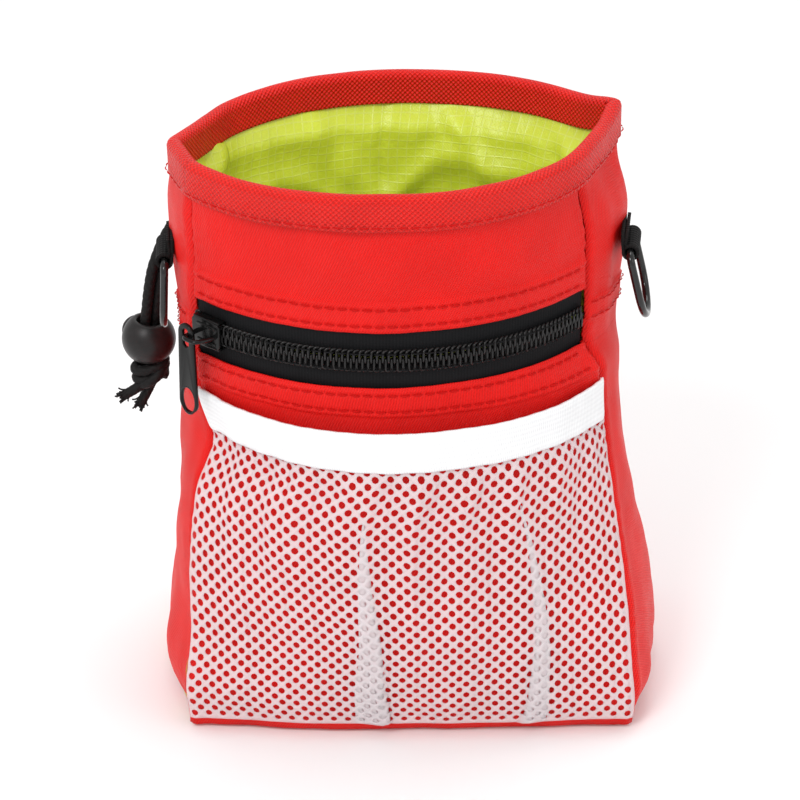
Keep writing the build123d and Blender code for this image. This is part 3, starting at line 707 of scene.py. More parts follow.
def stitches(name, rows):
    """Short rounded stitches. Each row is (points, normals), one point every half millimetre or so."""
    verts, faces, uvs = [], [], []
    around, along = 6, 5
    for points, normals in rows:
        length = np.concatenate([[0], np.cumsum(np.linalg.norm(np.diff(points, axis=0), axis=1))])
        for start in np.arange(0.6, length[-1] - STITCH_L, STITCH_PITCH):
            at = start + np.linspace(0, STITCH_L, along)
            line = np.stack([np.interp(at, length, points[:, k]) for k in range(3)], -1)
            up = np.stack([np.interp(at, length, normals[:, k]) for k in range(3)], -1)
            lift = 0.42 * np.sin(np.linspace(0.12, 0.88, along) * math.pi) - 0.12
            line = line + up * lift[:, None]
            heading = (line[-1] - line[0]) / np.linalg.norm(line[-1] - line[0])
            side = np.cross(heading, up[along // 2])
            width = STITCH_W / 2 * np.sin(np.linspace(0.10, 0.90, along) * math.pi) ** 0.5
            base = len(verts)
            for i in range(along):
                for j in range(around):
                    a = 2 * math.pi * j / around
                    verts.append(line[i] + width[i] * (math.cos(a) * side + 0.7 * math.sin(a) * up[i]))
                    uvs.append((at[i], a * 0.3))
            faces += grid_faces(along, around, base, True)
            faces += [tuple(base + j for j in range(around))[::-1]]
            faces += [tuple(base + (along - 1) * around + j for j in range(around))]
    return mesh_object(name, verts, faces, uvs)


def wall_row(wall, z, start=0.02, end=0.98, lift=0.15, extra=None):
    """A line of points across a wall at height z, on the cloth's face."""
    t = np.linspace(start, end, 260)
    heights = z(t) if callable(z) else np.full_like(t, z)
    out = relief(wall, t, heights) + lift
    if extra is not None:
        out = out + extra(t, heights)
    return place(wall, t, heights, out), wall_normal(wall, t, heights)


# ---- Shell ------------------------------------------------------------------------------------
def make_shell():
    low, high = ZIP_Z - ZIP_OPEN / 2, ZIP_Z + ZIP_OPEN / 2
    seam = ZIP_Z
    top = RIM_Z - 4.0
    front_low = panel("shell_front_lower", "front", 1.2, low, (low - 2, low - 7, low - HEM, low))
    front_high = panel("shell_front_upper", "front", high, top, (high, high + 2, high + 7, high + HEM))
    finish_piece(front_low, "pouch", M["red"], "red_fabric", "front_lower_panel")
    finish_piece(front_high, "pouch", M["red"], "red_fabric", "front_upper_panel")
    for side in ("left", "right"):
        edges = (seam - 8, seam - 6, seam - 4, seam, seam + 3)
        lower = panel(f"shell_{side}_gusset_lower", side, 1.2, seam - 9.5, (seam - 10,))
        upper = panel(f"shell_{side}_gusset_upper", side, seam - 9.5, top, edges)
        finish_piece(lower, "pouch", M["red"], "red_fabric", f"{side}_gusset_lower")
        finish_piece(upper, "pouch", M["red"], "red_fabric", f"{side}_gusset_upper")
    back = panel("shell_back", "back", 1.2, top)
    finish_piece(back, "pouch", M["red"], "red_fabric", "back_panel")
    make_base()
    rows = []
    for d in (2.2, 7.2):
        rows.append(wall_row("front", high + d))
        rows.append(wall_row("front", low - d))
    for side, sign in (("left", 1), ("right", -1)):
        start = seam + (3.0 if side == "right" else 1.0)
        for d in (1.9, 6.6):
            rows.append(wall_row(side, lambda t: start - d + 5.0 * (t - 0.5) * sign))
    finish_piece(stitches("shell_stitches", rows), "pouch", M["red_thread"], "red_fabric")


def outline_loop(z, out, count=90):
    """The plan outline at height z as one closed line, that far out of the walls."""
    points = []
    for wall in ("front", "right", "back", "left"):
        t = np.linspace(0, 1, count, endpoint=False)
        points.append(place(wall, t, np.full_like(t, z), relief(wall, t, np.full_like(t, z)) * 0 + out))
    return np.vstack(points)


def make_base():
    """The base panel: slightly crowned up in the middle, so that it rests near its edge."""
    t = np.linspace(0, 1, 60, endpoint=False)
    edge = []
    for wall in ("front", "right", "back", "left"):
        z = np.full_like(t, 1.3)
        edge.append(place(wall, t, z, relief(wall, t, z) - 0.3))
    edge = np.vstack(edge)
    rings = []
    for s in (1.0, 0.985, 0.95, 0.88, 0.75, 0.6, 0.45, 0.3, 0.15, 0.03):
        ring = edge * (s, s, 0)
        ring[:, 2] = 0.0 if s < 0.96 else (s - 0.95) * 28
        rings.append(ring)
    points = np.stack(rings)
    points[..., 2] += np.where(points[..., 2] < 0.2, 0.35 * (1 + lumps(points, 25, 5.0)), 0)
    obj = grid_object("shell_base", points, points[..., :2].copy(), wrap=True)
    finish_piece(thicken(obj, 0.8, 1.0), "pouch", M["red"], "red_fabric", "base_panel")


# ---- Rim binding ------------------------------------------------------------------------------
def rim_line():
    """The rim's line at mid thickness, as a closed line. It stays sharp where the gussets fold."""
    points = resample(outline_loop(RIM_Z, -0.4, 110), 0.75, closed=True)
    sharp = near(distance_to(points, "right_mid"), 0.0, 4.0) + 0.6 * near(distance_to(points, "left_mid"), 0.0, 4.0)
    sharp = sharp + 0.6 * near(distance_to(points, "back_left"), 0.0, 7.0)
    for _ in range(22):
        soft = 0.25 * np.roll(points, 1, 0) + 0.5 * points + 0.25 * np.roll(points, -1, 0)
        keep = np.clip(sharp, 0, 0.97)[:, None]
        points = points * keep + soft * (1 - keep)
    return points


def distance_to(points, name):
    """Level distance of points from a corner of the mouth."""
    x, y = to_world(MOUTH[name])
    return np.hypot(points[..., 0] - x, points[..., 1] - y)


def rim_lift(points):
    """Height of the rim over its plain level: the front dips, and the rear right corner stands up."""
    lift = 2.0 * near(distance_to(points, "right_mid"), 0.0, 8.0)
    lift = lift - 2.6 * near(distance_to(points, "back_left"), 0.0, 24.0)
    lift = lift - 1.7 * smooth((-points[:, 1] - 4) / 22.0)
    lift = lift - 1.0 * near(distance_to(points, "left_mid"), 0.0, 16.0)
    return lift + 0.7 * lumps(points, 24, 2.2)


def binding_profile():
    """Half-round over the edge with two straight legs, as (out, up) from the rim."""
    legs = [(2.05, -y) for y in np.linspace(BINDING_H, 1.6, 14)]
    over = [(2.05 * math.cos(a) - 0.15, 1.6 * math.sin(a) - 1.4) for a in np.linspace(0.05, math.pi - 0.05, 11)]
    inner = [(-2.35, -y) for y in np.linspace(1.6, BINDING_H - 0.4, 14)]
    return np.array(legs + over + inner)


def make_binding():
    line = rim_line()
    line[:, 2] = RIM_Z - 0.4 + rim_lift(line)
    tangent = np.roll(line, -1, 0) - np.roll(line, 1, 0)
    tangent /= np.linalg.norm(tangent, axis=1, keepdims=True)
    out = np.cross(tangent, (0, 0, 1.0))
    out /= np.linalg.norm(out, axis=1, keepdims=True)
    line, out = (np.vstack([v, v[:1]]) for v in (line, out))
    profile = binding_profile()
    around = np.arange(len(line)) * 0.75
    along = np.concatenate([[0], np.cumsum(np.hypot(*np.diff(profile, axis=0).T))])
    points = line[None] + profile[:, None, :1] * out[None]
    points[..., 2] += profile[:, None, 1]
    bumps = lumps(points, (9, 9, 14), 6.1)
    points += out[None] * (0.3 * bumps)[..., None]
    uvs = np.stack(np.meshgrid(around, along), -1)
    obj = grid_object("binding", points[:, ::-1], uvs[:, ::-1])
    finish_piece(thicken(obj, 0.85, 1.0), "pouch", M["binding"], "red_webbing", "rim_binding")
    rows = []
    rim = line + out * 2.42
    rim[:, 2] += 1.5 - BINDING_H
    rows.append((rim, out))
    finish_piece(stitches("binding_stitches", rows), "pouch", M["red_thread"], "red_webbing")


# ---- Lining -----------------------------------------------------------------------------------
def lining_depth(z):
    """How far the lining hangs inside the outline before it creases."""
    return 1.5 + 4.4 * smooth((RIM_Z - 9 - z) / 9.0) - 2.0 * smooth((12 - z) / 10)


def lining_folds(points, around):
    """Big soft folds: the lining is cut larger than the bag, so it sags and bunches below the rim."""
    z = points[..., 2]
    drop = RIM_Z - 7.0 - z
    slant = around + 0.55 * drop
    swell = 1.7 * np.abs(lumps(points, (17, 17, 30), 4.4)) + 0.8 * lumps(points, (7, 7, 15), 7.7)
    swags = 2.2 * near(drop, 24.0 + 7.0 * np.sin(around / 17.0) + 4.0 * np.sin(around / 7.1), 5.0)
    ridge = 1.6 * np.clip(np.sin(slant / 6.5 + 2.0 * lumps(points, 26, 1.3)), 0, 1) ** 3
    held = smooth(drop / 8.0) * smooth((z - 3.0) / 12.0)
    return (swell + swags * smooth(drop / 14.0) + ridge) * held


def make_lining():
    """The lining hangs from the binding to the floor of the bag, with a seam at the back."""
    top, low, turns = RIM_Z - 7.0, 2.4, 320
    heights = np.concatenate([np.linspace(top, 96, 74), np.linspace(94, low, 24)])
    points = np.stack([outline_loop(z, -lining_depth(z), turns // 4) for z in heights])
    steps = np.linalg.norm(np.diff(points[0], axis=0), axis=1)
    around = np.concatenate([[0], np.cumsum(steps)])
    back = around[int(turns * 0.625)]
    around, down = np.meshgrid(around, heights)
    inward = lining_folds(points, around) - 0.9 * near(around, back, 1.2)
    points = points - outline_normals(points) * np.maximum(inward, -0.5)[..., None]
    points[..., 2] += 0.6 * lumps(points, (9, 9, 9), 3.3) * smooth((top - down) / 10) * smooth((down - 6) / 10)
    uvs = np.stack([around, -down * 1.1], -1)
    obj = grid_object("lining", points[:, ::-1], uvs[:, ::-1], wrap=True)
    finish_piece(thicken(obj, 0.25, 1.0), "pouch", M["lining"], "lime_lining", "lining_wall")
    make_lining_base()


def outline_normals(points):
    """Outward level normals of rings of points."""
    tangent = np.roll(points, -1, 1) - np.roll(points, 1, 1)
    out = np.cross(tangent, (0, 0, 1.0))
    return out / np.linalg.norm(out, axis=-1, keepdims=True)


def make_lining_base():
    edge = outline_loop(3.0, -4.5, 50)
    rings = []
    for s in (1.0, 0.9, 0.8, 0.7, 0.6, 0.5, 0.4, 0.3, 0.2, 0.1, 0.02):
        ring = edge * (s, s, 1)
        rings.append(ring)
    points = np.stack(rings)
    points[..., 2] = 2.6 + 0.9 * (1 + lumps(points, 18, 9.2)) * smooth((1 - np.linspace(1, 0, 11)) * 6)[:, None]
    obj = grid_object("lining_floor", points, points[..., :2] * 1.0, wrap=True)
    finish_piece(obj, "pouch", M["lining"], "lime_lining", "lining_base")


# ---- Zipper -----------------------------------------------------------------------------------
def front_fraction(degrees):
    """The fraction of the front wall at that angle of its arc."""
    return (np.asarray(degrees, float) + FRONT_LEFT) / (FRONT_LEFT + FRONT_ANGLE)


def make_zipper():
    reach = ZIP_OPEN / 2 + 6.0
    for name, low, high in (("lower", ZIP_Z - reach, ZIP_Z - 0.9), ("upper", ZIP_Z + 0.9, ZIP_Z + reach)):
        t, z = np.meshgrid(np.linspace(0.004, 0.996, 160), np.linspace(low, high, 12))
        wave = 0.12 * lumps(wall_point("front", t, z), (9, 9, 30), 4.0)
        obj = grid_object(f"tape_{name}", place("front", t, z, -1.15 + wave), np.stack([t * 123, z], -1))
        finish_piece(thicken(obj, 0.45), "pouch", M["tape"], "black_tape", f"zipper_tape_{name}")
        make_coil(name, 1 if name == "upper" else -1)
    make_slider()
    make_pull()


def make_coil(name, sign):
    """One row of coil teeth: a flattened helix whose outer bends reach past the middle line."""
    pitch = math.degrees(COIL_PITCH / FRONT_R)
    turns = int((FRONT_LEFT + FRONT_ANGLE - 2.4) / pitch)
    turn = np.arange(turns * 16) / 16
    part = turn % 1.0
    advance = turn - part + smooth((part - 0.33) / 0.34) + (0.0 if sign > 0 else 0.5)
    degrees = -FRONT_LEFT + 1.2 + advance * pitch
    spread = 2.6 * smooth((COIL_START - degrees) / 6.5)
    wave = np.cos(2 * math.pi * part)
    up = COIL_REACH / 2 + spread - 0.35 - (COIL_REACH / 2 + 0.2) * np.sign(wave) * np.abs(wave) ** 0.75
    out = COIL_HIGH / 2 * np.sin(2 * math.pi * part)
    points = place("front", front_fraction(degrees), ZIP_Z + sign * up, out)
    obj = tube(f"coil_{name}", points, 0.38, 7)
    finish_piece(obj, "pouch", M["coil"], "black_coil", f"zipper_coil_{name}")
    rows = []
    t = np.linspace(0.02, 0.985, 400)
    z = np.full_like(t, ZIP_Z + sign * 2.45)
    z = z + sign * 2.6 * smooth((front_fraction(COIL_START) - t) / 0.065)
    line = place("front", t, z, np.full_like(t, 0.92))
    rows.append((line, wall_normal("front", t, z)))
    thread = stitches(f"coil_thread_{name}", rows)
    finish_piece(thread, "pouch", M["tape"], "black_tape")


def slider_axes():
    """Origin, along, up and out at the slider, as in the CAD."""
    a = math.radians(SLIDER_REST)
    x, y = to_world((FRONT_R * math.sin(a), FRONT_C - FRONT_R * math.cos(a)))
    a = math.radians(SLIDER_REST + MOUTH_TWIST)
    along = np.array([math.cos(a), math.sin(a), 0.0])
    out = np.array([math.sin(a), -math.cos(a), 0.0])
    return np.array([x, y, ZIP_Z]), along, np.array([0.0, 0.0, 1.0]), out


def in_frame(obj, origin, x, y, z):
    """Moves a mesh made about the origin into a frame."""
    co = np.empty(len(obj.data.vertices) * 3)
    obj.data.vertices.foreach_get("co", co)
    co = co.reshape(-1, 3)
    basis = np.stack([np.asarray(v, float) for v in (x, y, z)])
    co = co @ basis + np.asarray(origin, float) * MM
    obj.data.vertices.foreach_set("co", co.ravel())
    obj.data.update()
    return obj


def flat_shape(name, loops, depth, rounding=0.15):
    """A plate cut to a closed outline with holes, its edges rounded. Loops are lists of (x, y)."""
    curve = bpy.data.curves.new(name, "CURVE")
    curve.dimensions, curve.fill_mode = "2D", "BOTH"
    curve.extrude = (depth / 2 - rounding) * MM
    curve.bevel_depth, curve.bevel_resolution, curve.offset = rounding * MM, 2, -rounding * MM
    for loop in loops:
        spline = curve.splines.new("POLY")
        spline.points.add(len(loop) - 1)
        spline.use_cyclic_u = True
        for point, (x, y) in zip(spline.points, loop):
            point.co = (x * MM, y * MM, 0, 1)
    holder = bpy.data.objects.new(name, curve)
    bpy.context.collection.objects.link(holder)
    graph = bpy.context.evaluated_depsgraph_get()
    mesh = bpy.data.meshes.new_from_object(holder.evaluated_get(graph), depsgraph=graph)
    bpy.data.objects.remove(holder)
    bpy.data.curves.remove(curve)
    mesh.name = name
    obj = bpy.data.objects.new(name, mesh)
    bpy.context.collection.objects.link(obj)
    weld(obj)
    return obj


def weld(obj, distance=0.004):
    shape = bmesh.new()
    shape.from_mesh(obj.data)
    bmesh.ops.remove_doubles(shape, verts=shape.verts, dist=distance * MM)
    bmesh.ops.recalc_face_normals(shape, faces=shape.faces)
    shape.to_mesh(obj.data)
    shape.free()
    obj.data.set_sharp_from_angle(angle=math.radians(42))
    obj.data.shade_smooth()
    obj.data.set_sharp_from_angle(angle=math.radians(42))


def rounded_box(name, size, centre, rounding, segments=3):
    x, y, z = (s / 2 for s in size)
    cx, cy, cz = centre
    corners = [(cx + i * x, cy + j * y, cz + k * z) for i in (-1, 1) for j in (-1, 1) for k in (-1, 1)]
    faces = [(0, 1, 3, 2), (4, 6, 7, 5), (0, 4, 5, 1), (2, 3, 7, 6), (0, 2, 6, 4), (1, 5, 7, 3)]
    return round_edges(mesh_object(name, corners, faces), rounding, segments)


def make_slider():
    """Top and bottom plates with turned-down flanges, joined by a post, and the bridge for the pull."""
    origin, along, up, out = slider_axes()
    half_l, wide, narrow = 5.5, 4.5, 3.9
    outline = []
    for x, y in ((-half_l, wide - 1.2), (-half_l + 1.2, wide), (0.5, wide - 0.1), (half_l - 0.8, narrow), (half_l, narrow - 0.9)):
        outline.append((x, y))
    outline += [(x, -y) for x, y in reversed(outline)]
    top = flat_shape("top", [outline], 1.1, 0.3)
    in_frame(top, (0, 0, 2.0), (1, 0, 0), (0, 1, 0), (0, 0, 1))
    under = flat_shape("under", [outline], 1.0, 0.2)
    in_frame(under, (0, 0, -2.6), (1, 0, 0), (0, 1, 0), (0, 0, 1))
    parts = [top, under]
    for sign in (-1, 1):
        parts.append(rounded_box("flange", (10.2, 0.75, 2.9), (-0.1, sign * 4.05, 0.75), 0.25))
        parts.append(rounded_box("rail", (7.5, 0.8, 0.55), (0.4, sign * 2.5, 2.62), 0.2))
    parts.append(rounded_box("post", (2.6, 1.4, 4.4), (-4.0, 0, -0.4), 0.3))
    arch = [(-BRIDGE_HALF, 0, 2.0), (-BRIDGE_HALF - 0.1, 0, BRIDGE_OUT - 1.6), (-BRIDGE_HALF + 1.0, 0, BRIDGE_OUT + 0.15),
            (0, 0, BRIDGE_OUT + 0.2), (BRIDGE_HALF - 1.0, 0, BRIDGE_OUT + 0.15), (BRIDGE_HALF + 0.4, 0, BRIDGE_OUT - 2.2),
            (BRIDGE_HALF + 1.0, 0, 2.0)]
    parts.append(tube("bridge", spline_points(arch, 0.25), 0.78, 14, flat=0.85))
    slider = in_frame(join("slider", parts), origin, along, up, out)
    finish_piece(slider, "slider", M["enamel"], "black_enamel", "zipper_slider")


def oval(rx, ry, cy, count=28):
    return [(rx * math.sin(2 * math.pi * k / count), cy + ry * math.cos(2 * math.pi * k / count)) for k in range(count)]


def make_pull():
    """A tab that widens downwards, with a slot for the bridge and an oval hole near its end."""
    origin, along, up, out = slider_axes()
    top_r, low_r = 3.0, PULL_W / 2
    top_y = 2.2 - 1.2
    low_y = 2.2 - PULL_L + low_r + top_r
    outline = []
    for k in range(17):
        a = math.radians(-90 + 180 * k / 16)
        outline.append((top_r * math.sin(a), top_y + top_r * math.cos(a)))
    for k in range(21):
        a = math.radians(90 + 180 * k / 20)
        outline.append((low_r * math.sin(a), low_y + low_r * math.cos(a)))
    slot_hole = []
    for k in range(24):
        a = 2 * math.pi * k / 24
        slot_hole.append((1.2 * math.sin(a), 2.2 - 2.6 + (1.7 if math.cos(a) > 0 else -1.7) + 1.2 * math.cos(a)))
    plate = flat_shape("pull_plate", [outline, slot_hole[::-1], oval(2.6, 3.9, low_y + 0.5)[::-1]], PULL_T, 0.28)
    rim = tube("pull_rim", [(x, y, 0.28) for x, y in oval(3.02, 4.25, low_y + 0.5, 48)], 0.34, 10, closed=True)
    pull = join("pull", [plate, rim])
    in_frame(pull, origin - along * BRIDGE_HALF + out * PULL_OUT + up * -0.35, along, up, out)
    finish_piece(pull, "pull", M["enamel"], "black_enamel", "zipper_pull")


# ---- Mesh pocket ------------------------------------------------------------------------------
NET_WIDTH = 130.0
PLEATS = ((0.425, 1.0, 10.0), (0.775, -1.0, 6.5))  # fraction across, side of the fold, width at the base


def pleat_line(at, sign, z):
    """Where a pleat's fold lies across the panel: one leans and the other bows."""
    if sign > 0:
        return at - 0.00057 * (z - 50)
    return at - 0.000025 * (z - 38) ** 2


def pocket_out(t, z):
    """How far the mesh stands out of the front panel."""
    s = np.clip((z - 4.0) / (MESH_TOP - ELASTIC_H - 4.0), 0, 1)
    gap = 0.25 + (POCKET_GAP - 0.25) * s + POCKET_BELLY * 2.2 * s * (1 - s)
    dome = (1 - np.abs(2 * t - 1) ** 2.2)
    p = wall_point("front", t, z)
    out = gap * dome
    across = t * width_at("front", z)
    gather = near(z, MESH_TOP - ELASTIC_H - 8, 34) * dome * (1 - smooth((z - 86) / 6))
    out = out + gather * (1.0 * np.sin(across * 0.42 + 3.0 * lumps(p, (30, 30, 60), 1.0)) + 0.4 * np.sin(across * 0.95 + 1))
    out = out - 0.7 * smooth((z - 88) / 5)
    out = out + dome * (0.9 * lumps(p, (22, 22, 40), 12.0) + 0.35 * lumps(p, (9, 9, 18), 5.5))
    for at, sign, width in PLEATS:
        d = (t - pleat_line(at, sign, z)) * width_at("front", z) * sign
        rise = 1 - smooth((z - 6) / 80)
        out = out + rise * 1.1 * smooth(1 + d / width) * (d < 0) - 0.35 * rise * near(d, 0.8, 0.8)
    return np.maximum(out, 0.3) + 0.35


def pocket_face(t, z, lift=0.0):
    return place("front", t, z, np.maximum(relief("front", t, z), -1.0) + pocket_out(t, z) + lift)


def has_area(face, flat):
    """False for a face whose corners all lie on the cloth's cut edge."""
    x, y = np.array([flat[k] for k in face]).T
    return abs(np.dot(x, np.roll(y, -1)) - np.dot(y, np.roll(x, -1))) > 0.001


def net(name, low, high, left, right, lift, skew=None, shift=0.0, margin=1.0):
    """Knitted mesh with its real holes: each hole is a ring of points inside a diamond cell."""
    width = NET_WIDTH
    keys, faces, flat = {}, [], []

    def vertex(u, v):
        u = min(max(u, left(v)), right(v))
        v = min(max(v, low), high)
        key = (round(u, 2), round(v, 2))
        if key not in keys:
            keys[key] = len(flat)
            flat.append((u, v))
        return keys[key]

    rows = int((high - low) / ROW_PITCH) + 2
    for i in range(rows):
        v = low + i * ROW_PITCH
        start = (HOLE_PITCH / 2 if i % 2 else 0.0) + shift
        for j in range(-1, int(width / HOLE_PITCH) + 2):
            u = start + j * HOLE_PITCH
            if u < left(v) - HOLE_PITCH / 2 or u > right(v) + HOLE_PITCH / 2:
                continue
            net_cell(u, v, left(v), right(v), low, high, vertex, faces, margin)
    faces = [face for face in {frozenset(face): face for face in faces}.values() if has_area(face, flat)]
    flat_array = np.array(flat)
    t = flat_array[:, 0] / width
    points = pocket_face(t, flat_array[:, 1], lift)
    obj = mesh_object(name, points, faces, flat_array)
    fix_normals(obj)
    return thicken(obj, 0.34, 1.0)


def net_cell(u, v, left, right, low, high, vertex, faces, margin):
    """One diamond cell. A cell at the cloth's edge is left solid."""
    a, b = HOLE_PITCH / 2, ROW_PITCH
    edge = [(a, 0), (a / 2, b / 2), (0, b), (-a / 2, b / 2), (-a, 0), (-a / 2, -b / 2), (0, -b), (a / 2, -b / 2)]
    outer = [vertex(u + x, v + y) for x, y in edge]
    solid = min(u - left, right - u) < margin or min(v - low, high - v) < HOLE_H / 2 + 0.05
    if solid:
        centre = vertex(u, v)
        for k in range(8):
            tri = (outer[k], outer[(k + 1) % 8], centre)
            if len(set(tri)) == 3:
                faces.append(tri)
        return
    ring = []
    for k in range(8):
        angle = math.pi * k / 4
        ring.append(vertex(u + HOLE_W / 2 * math.cos(angle), v + HOLE_H / 2 * math.sin(angle)))
    for k in range(8):
        m = (k + 1) % 8
        face = tuple(dict.fromkeys((outer[k], outer[m], ring[m], ring[k])))
        if len(face) > 2:
            faces.append(face)


def make_pocket():
    low, high = 4.6, MESH_TOP - ELASTIC_H + 4.0
    main = net("pocket_net", low, high, lambda v: 0.6, lambda v: NET_WIDTH - 0.6, 0.0)
    parts = []
    for k, (at, sign, width) in enumerate(PLEATS):
        for layer in (1, 2):

            def fold(v, at=at, sign=sign):
                return pleat_line(at, sign, v) * NET_WIDTH

            def spread(v, width=width):
                return width * max(0.03, 1 - (v - low) / 76.0)

            if sign > 0:
                edges = (lambda v, f=fold, s=spread: f(v) - s(v)), fold
            else:
                edges = fold, (lambda v, f=fold, s=spread: f(v) + s(v))
            part = net(f"pleat_{k}_{layer}", low, 78.0, edges[0], edges[1], -0.42 * layer, None, 1.3 * layer, HOLE_W / 2 + 0.1)
            parts.append(part)
    for part in parts:
        finish_piece(part, "pouch", M["mesh"], "white_mesh")
    finish_piece(main, "pouch", M["mesh"], "white_mesh", "mesh_pocket")
    make_elastic()


def make_elastic():
    """The ribbed band over the pocket's mouth, rippled where it gathers the mesh."""
    low, high = MESH_TOP - ELASTIC_H, MESH_TOP + 0.5
    t, z = np.meshgrid(np.linspace(0.004, 0.996, 300), np.linspace(low, high, 16))
    across = t * 123
    ripple = 0.16 * np.sin(across * 0.7) * near(z, low, 4) + 0.08 * np.sin(across * 1.3) * near(z, high, 3)
    edge = -0.28 * near(z, low, 0.7) - 0.28 * near(z, high, 0.7)
    lift = 0.75 + ripple + edge
    line = place("front", t, z, np.maximum(relief("front", t, np.full_like(z, low + 6)), -1.0) * 0.6
                 + elastic_out(t) + lift)
    obj = grid_object("elastic", line, np.stack([across, z], -1))
    finish_piece(thicken(obj, 0.9), "pouch", M["elastic"], "white_elastic", "mesh_pocket_elastic")


def elastic_out(t):
    return 0.5 + (POCKET_GAP - 0.2) * (1 - np.abs(2 * t - 1) ** 2.2)


# ---- Drawcord, lock, knot ---------------------------------------------------------------------
def strand_points(sign):
    last = len(CORD_ROUTE) - 2
    points = []
    for i, p in enumerate(CORD_ROUTE):
        ahead = Vector(CORD_ROUTE[min(i, last) + 1]) - Vector(CORD_ROUTE[min(i, last)])
        behind = ahead
        if 0 < i < last:
            behind = Vector(p) - Vector(CORD_ROUTE[i - 1])
        along = (ahead.normalized() + behind.normalized()).normalized()
        above = Vector((along.z, 0, -along.x)).normalized()
        roll = math.radians(STRAND_ROLL[i])
        shift = above * math.cos(roll) + Vector((0, -math.sin(roll), 0))
        points.append(tuple(Vector(p) + shift * STRAND_STEP * sign))
    return points


def braided(name, points):
    return tube(name, points, CORD_D / 2 * 1.03, 40, shape=braid(4, 2.6))


def make_cords():
    knot_piece, tail_piece = make_knot(), make_tails()
    for name, sign in (("outer", 1), ("inner", -1)):
        points = spline_points(strand_points(sign), 0.33)
        obj = braided(f"cord_{name}", points)
        finish_piece(obj, "pouch", M["cord"], "black_cord", f"drawcord_{name}_strand")
    loop = resample(outline_loop(CHANNEL_Z, -CORD_LOOP_IN, 60), 2.0, closed=True)
    obj = tube("cord_loop", loop, CORD_D / 2 * 0.9, 12, closed=True)
    finish_piece(obj, "pouch", M["cord"], "black_cord", "drawcord_loop")


def make_knot():
    """Both cord ends tied together: two turns round the pair and a pass over them."""
    cx, cy, cz = KNOT_AT
    parts = []
    for k, (drop, size) in enumerate(((2.1, 1.0), (-1.0, 0.93))):
        points = []
        for a in np.linspace(-0.4, 2 * math.pi + 0.5, 46):
            r = 3.55 * size
            tilt = 1.3 * math.cos(a - 0.6)
            points.append((cx + 1.25 * r * math.cos(a), cy + 0.82 * r * math.sin(a), cz + drop + tilt + 0.22 * a))
        parts.append(braided(f"turn_{k}", resample(points, 0.4)))
    over = [(cx + 4.4, cy + 0.2, cz + 3.4), (cx + 3.4, cy - 3.4, cz + 1.6), (cx + 0.4, cy - 4.1, cz - 0.9),
            (cx - 2.6, cy - 2.2, cz - 3.0), (cx - 3.0, cy + 0.4, cz - 3.6)]
    parts.append(braided("over", spline_points(over, 0.4)))
    pair = [(cx + 0.6, cy - 1.0, cz + 5.2), (cx + 0.9, cy - 1.0, cz), (cx - 0.6, cy - 1.0, cz - 3.8)]
    parts.append(braided("through", spline_points(pair, 0.4)))
    knot = join("cord_knot", parts)
    return finish_piece(knot, "pouch", M["cord"], "black_cord", "drawcord_knot")


def make_tails():
    """Two short ends, each frayed into loose yarns."""
    cx, cy, cz = KNOT_AT
    parts = []
    ends = (((-1.2, -1.8, -2.0), (-4.4, -2.4, -4.4), (-8.0, -2.6, -6.3)),
            ((0.6, 1.2, -2.6), (-1.0, 1.0, -6.2), (-3.4, 0.6, -10.6)))
    for k, route in enumerate(ends):
        points = spline_points([(cx + x, cy + y, cz + z) for x, y, z in route], 0.35)
        parts.append(tube(f"tail_{k}", points, np.linspace(1.62, 1.55, len(points)), 40, shape=braid(4, 2.6)))
        heading = points[-1] - points[-4]
        heading /= np.linalg.norm(heading)
        _, side, up = frames_along(points)
        for j in range(26):
            a = 2.4 * j
            spread = 1.45 * math.sqrt((j + 0.5) / 26)
            root = points[-3] + spread * (math.cos(a) * side[-1] + math.sin(a) * up[-1])
            lean = (root - points[-3]) * (0.55 + 0.5 * math.sin(j * 1.7))
            length = 1.8 + 1.1 * math.sin(j * 2.9)
            tip = root + heading * length + lean
            mid = root + heading * length * 0.6 + lean * 0.25
            yarn = spline_points([tuple(root - heading * 0.6), tuple(mid), tuple(tip)], 0.35)
            parts.append(tube(f"yarn_{k}_{j}", yarn, 0.26, 6))
    tails = join("cord_tails", parts)
    return finish_piece(tails, "pouch", M["cord"], "black_cord", "drawcord_tails")


def lathe(name, profile, around=64):
    """A shape turned about local Z from (radius, height) pairs."""
    a = np.linspace(0, 2 * math.pi, around, endpoint=False)
    verts, uvs = [], []
    for r, h in profile:
        for angle in a:
            verts.append((r * math.cos(angle), r * math.sin(angle), h))
            uvs.append((r * angle, h))
    return mesh_object(name, verts, grid_faces(len(profile), around, 0, True), uvs)


def closed_lathe(name, profile, around=64):
    return lathe(name, list(profile) + [profile[0]], around)


def lock_axes():
    """Frame of the cord lock: z up along the cord, and the plunger's direction."""
    top, bottom = np.array(CORD_ROUTE[-2]), np.array(CORD_ROUTE[-1])
    z = (top - bottom) / np.linalg.norm(top - bottom)
    x = np.array([0.0, -1.0, 0.0])
    y = np.cross(z, x)
    a = math.radians(PLUNGER_DIR + 90)
    return x, y, z, math.cos(a) * x + math.sin(a) * y


def subtract(obj, cutter):
    mod = obj.modifiers.new("cut", "BOOLEAN")
    mod.operation, mod.object, mod.solver = "DIFFERENCE", cutter, "EXACT"
    bake(obj)
    data = cutter.data
    bpy.data.objects.remove(cutter)
    bpy.data.meshes.remove(data)
    return obj


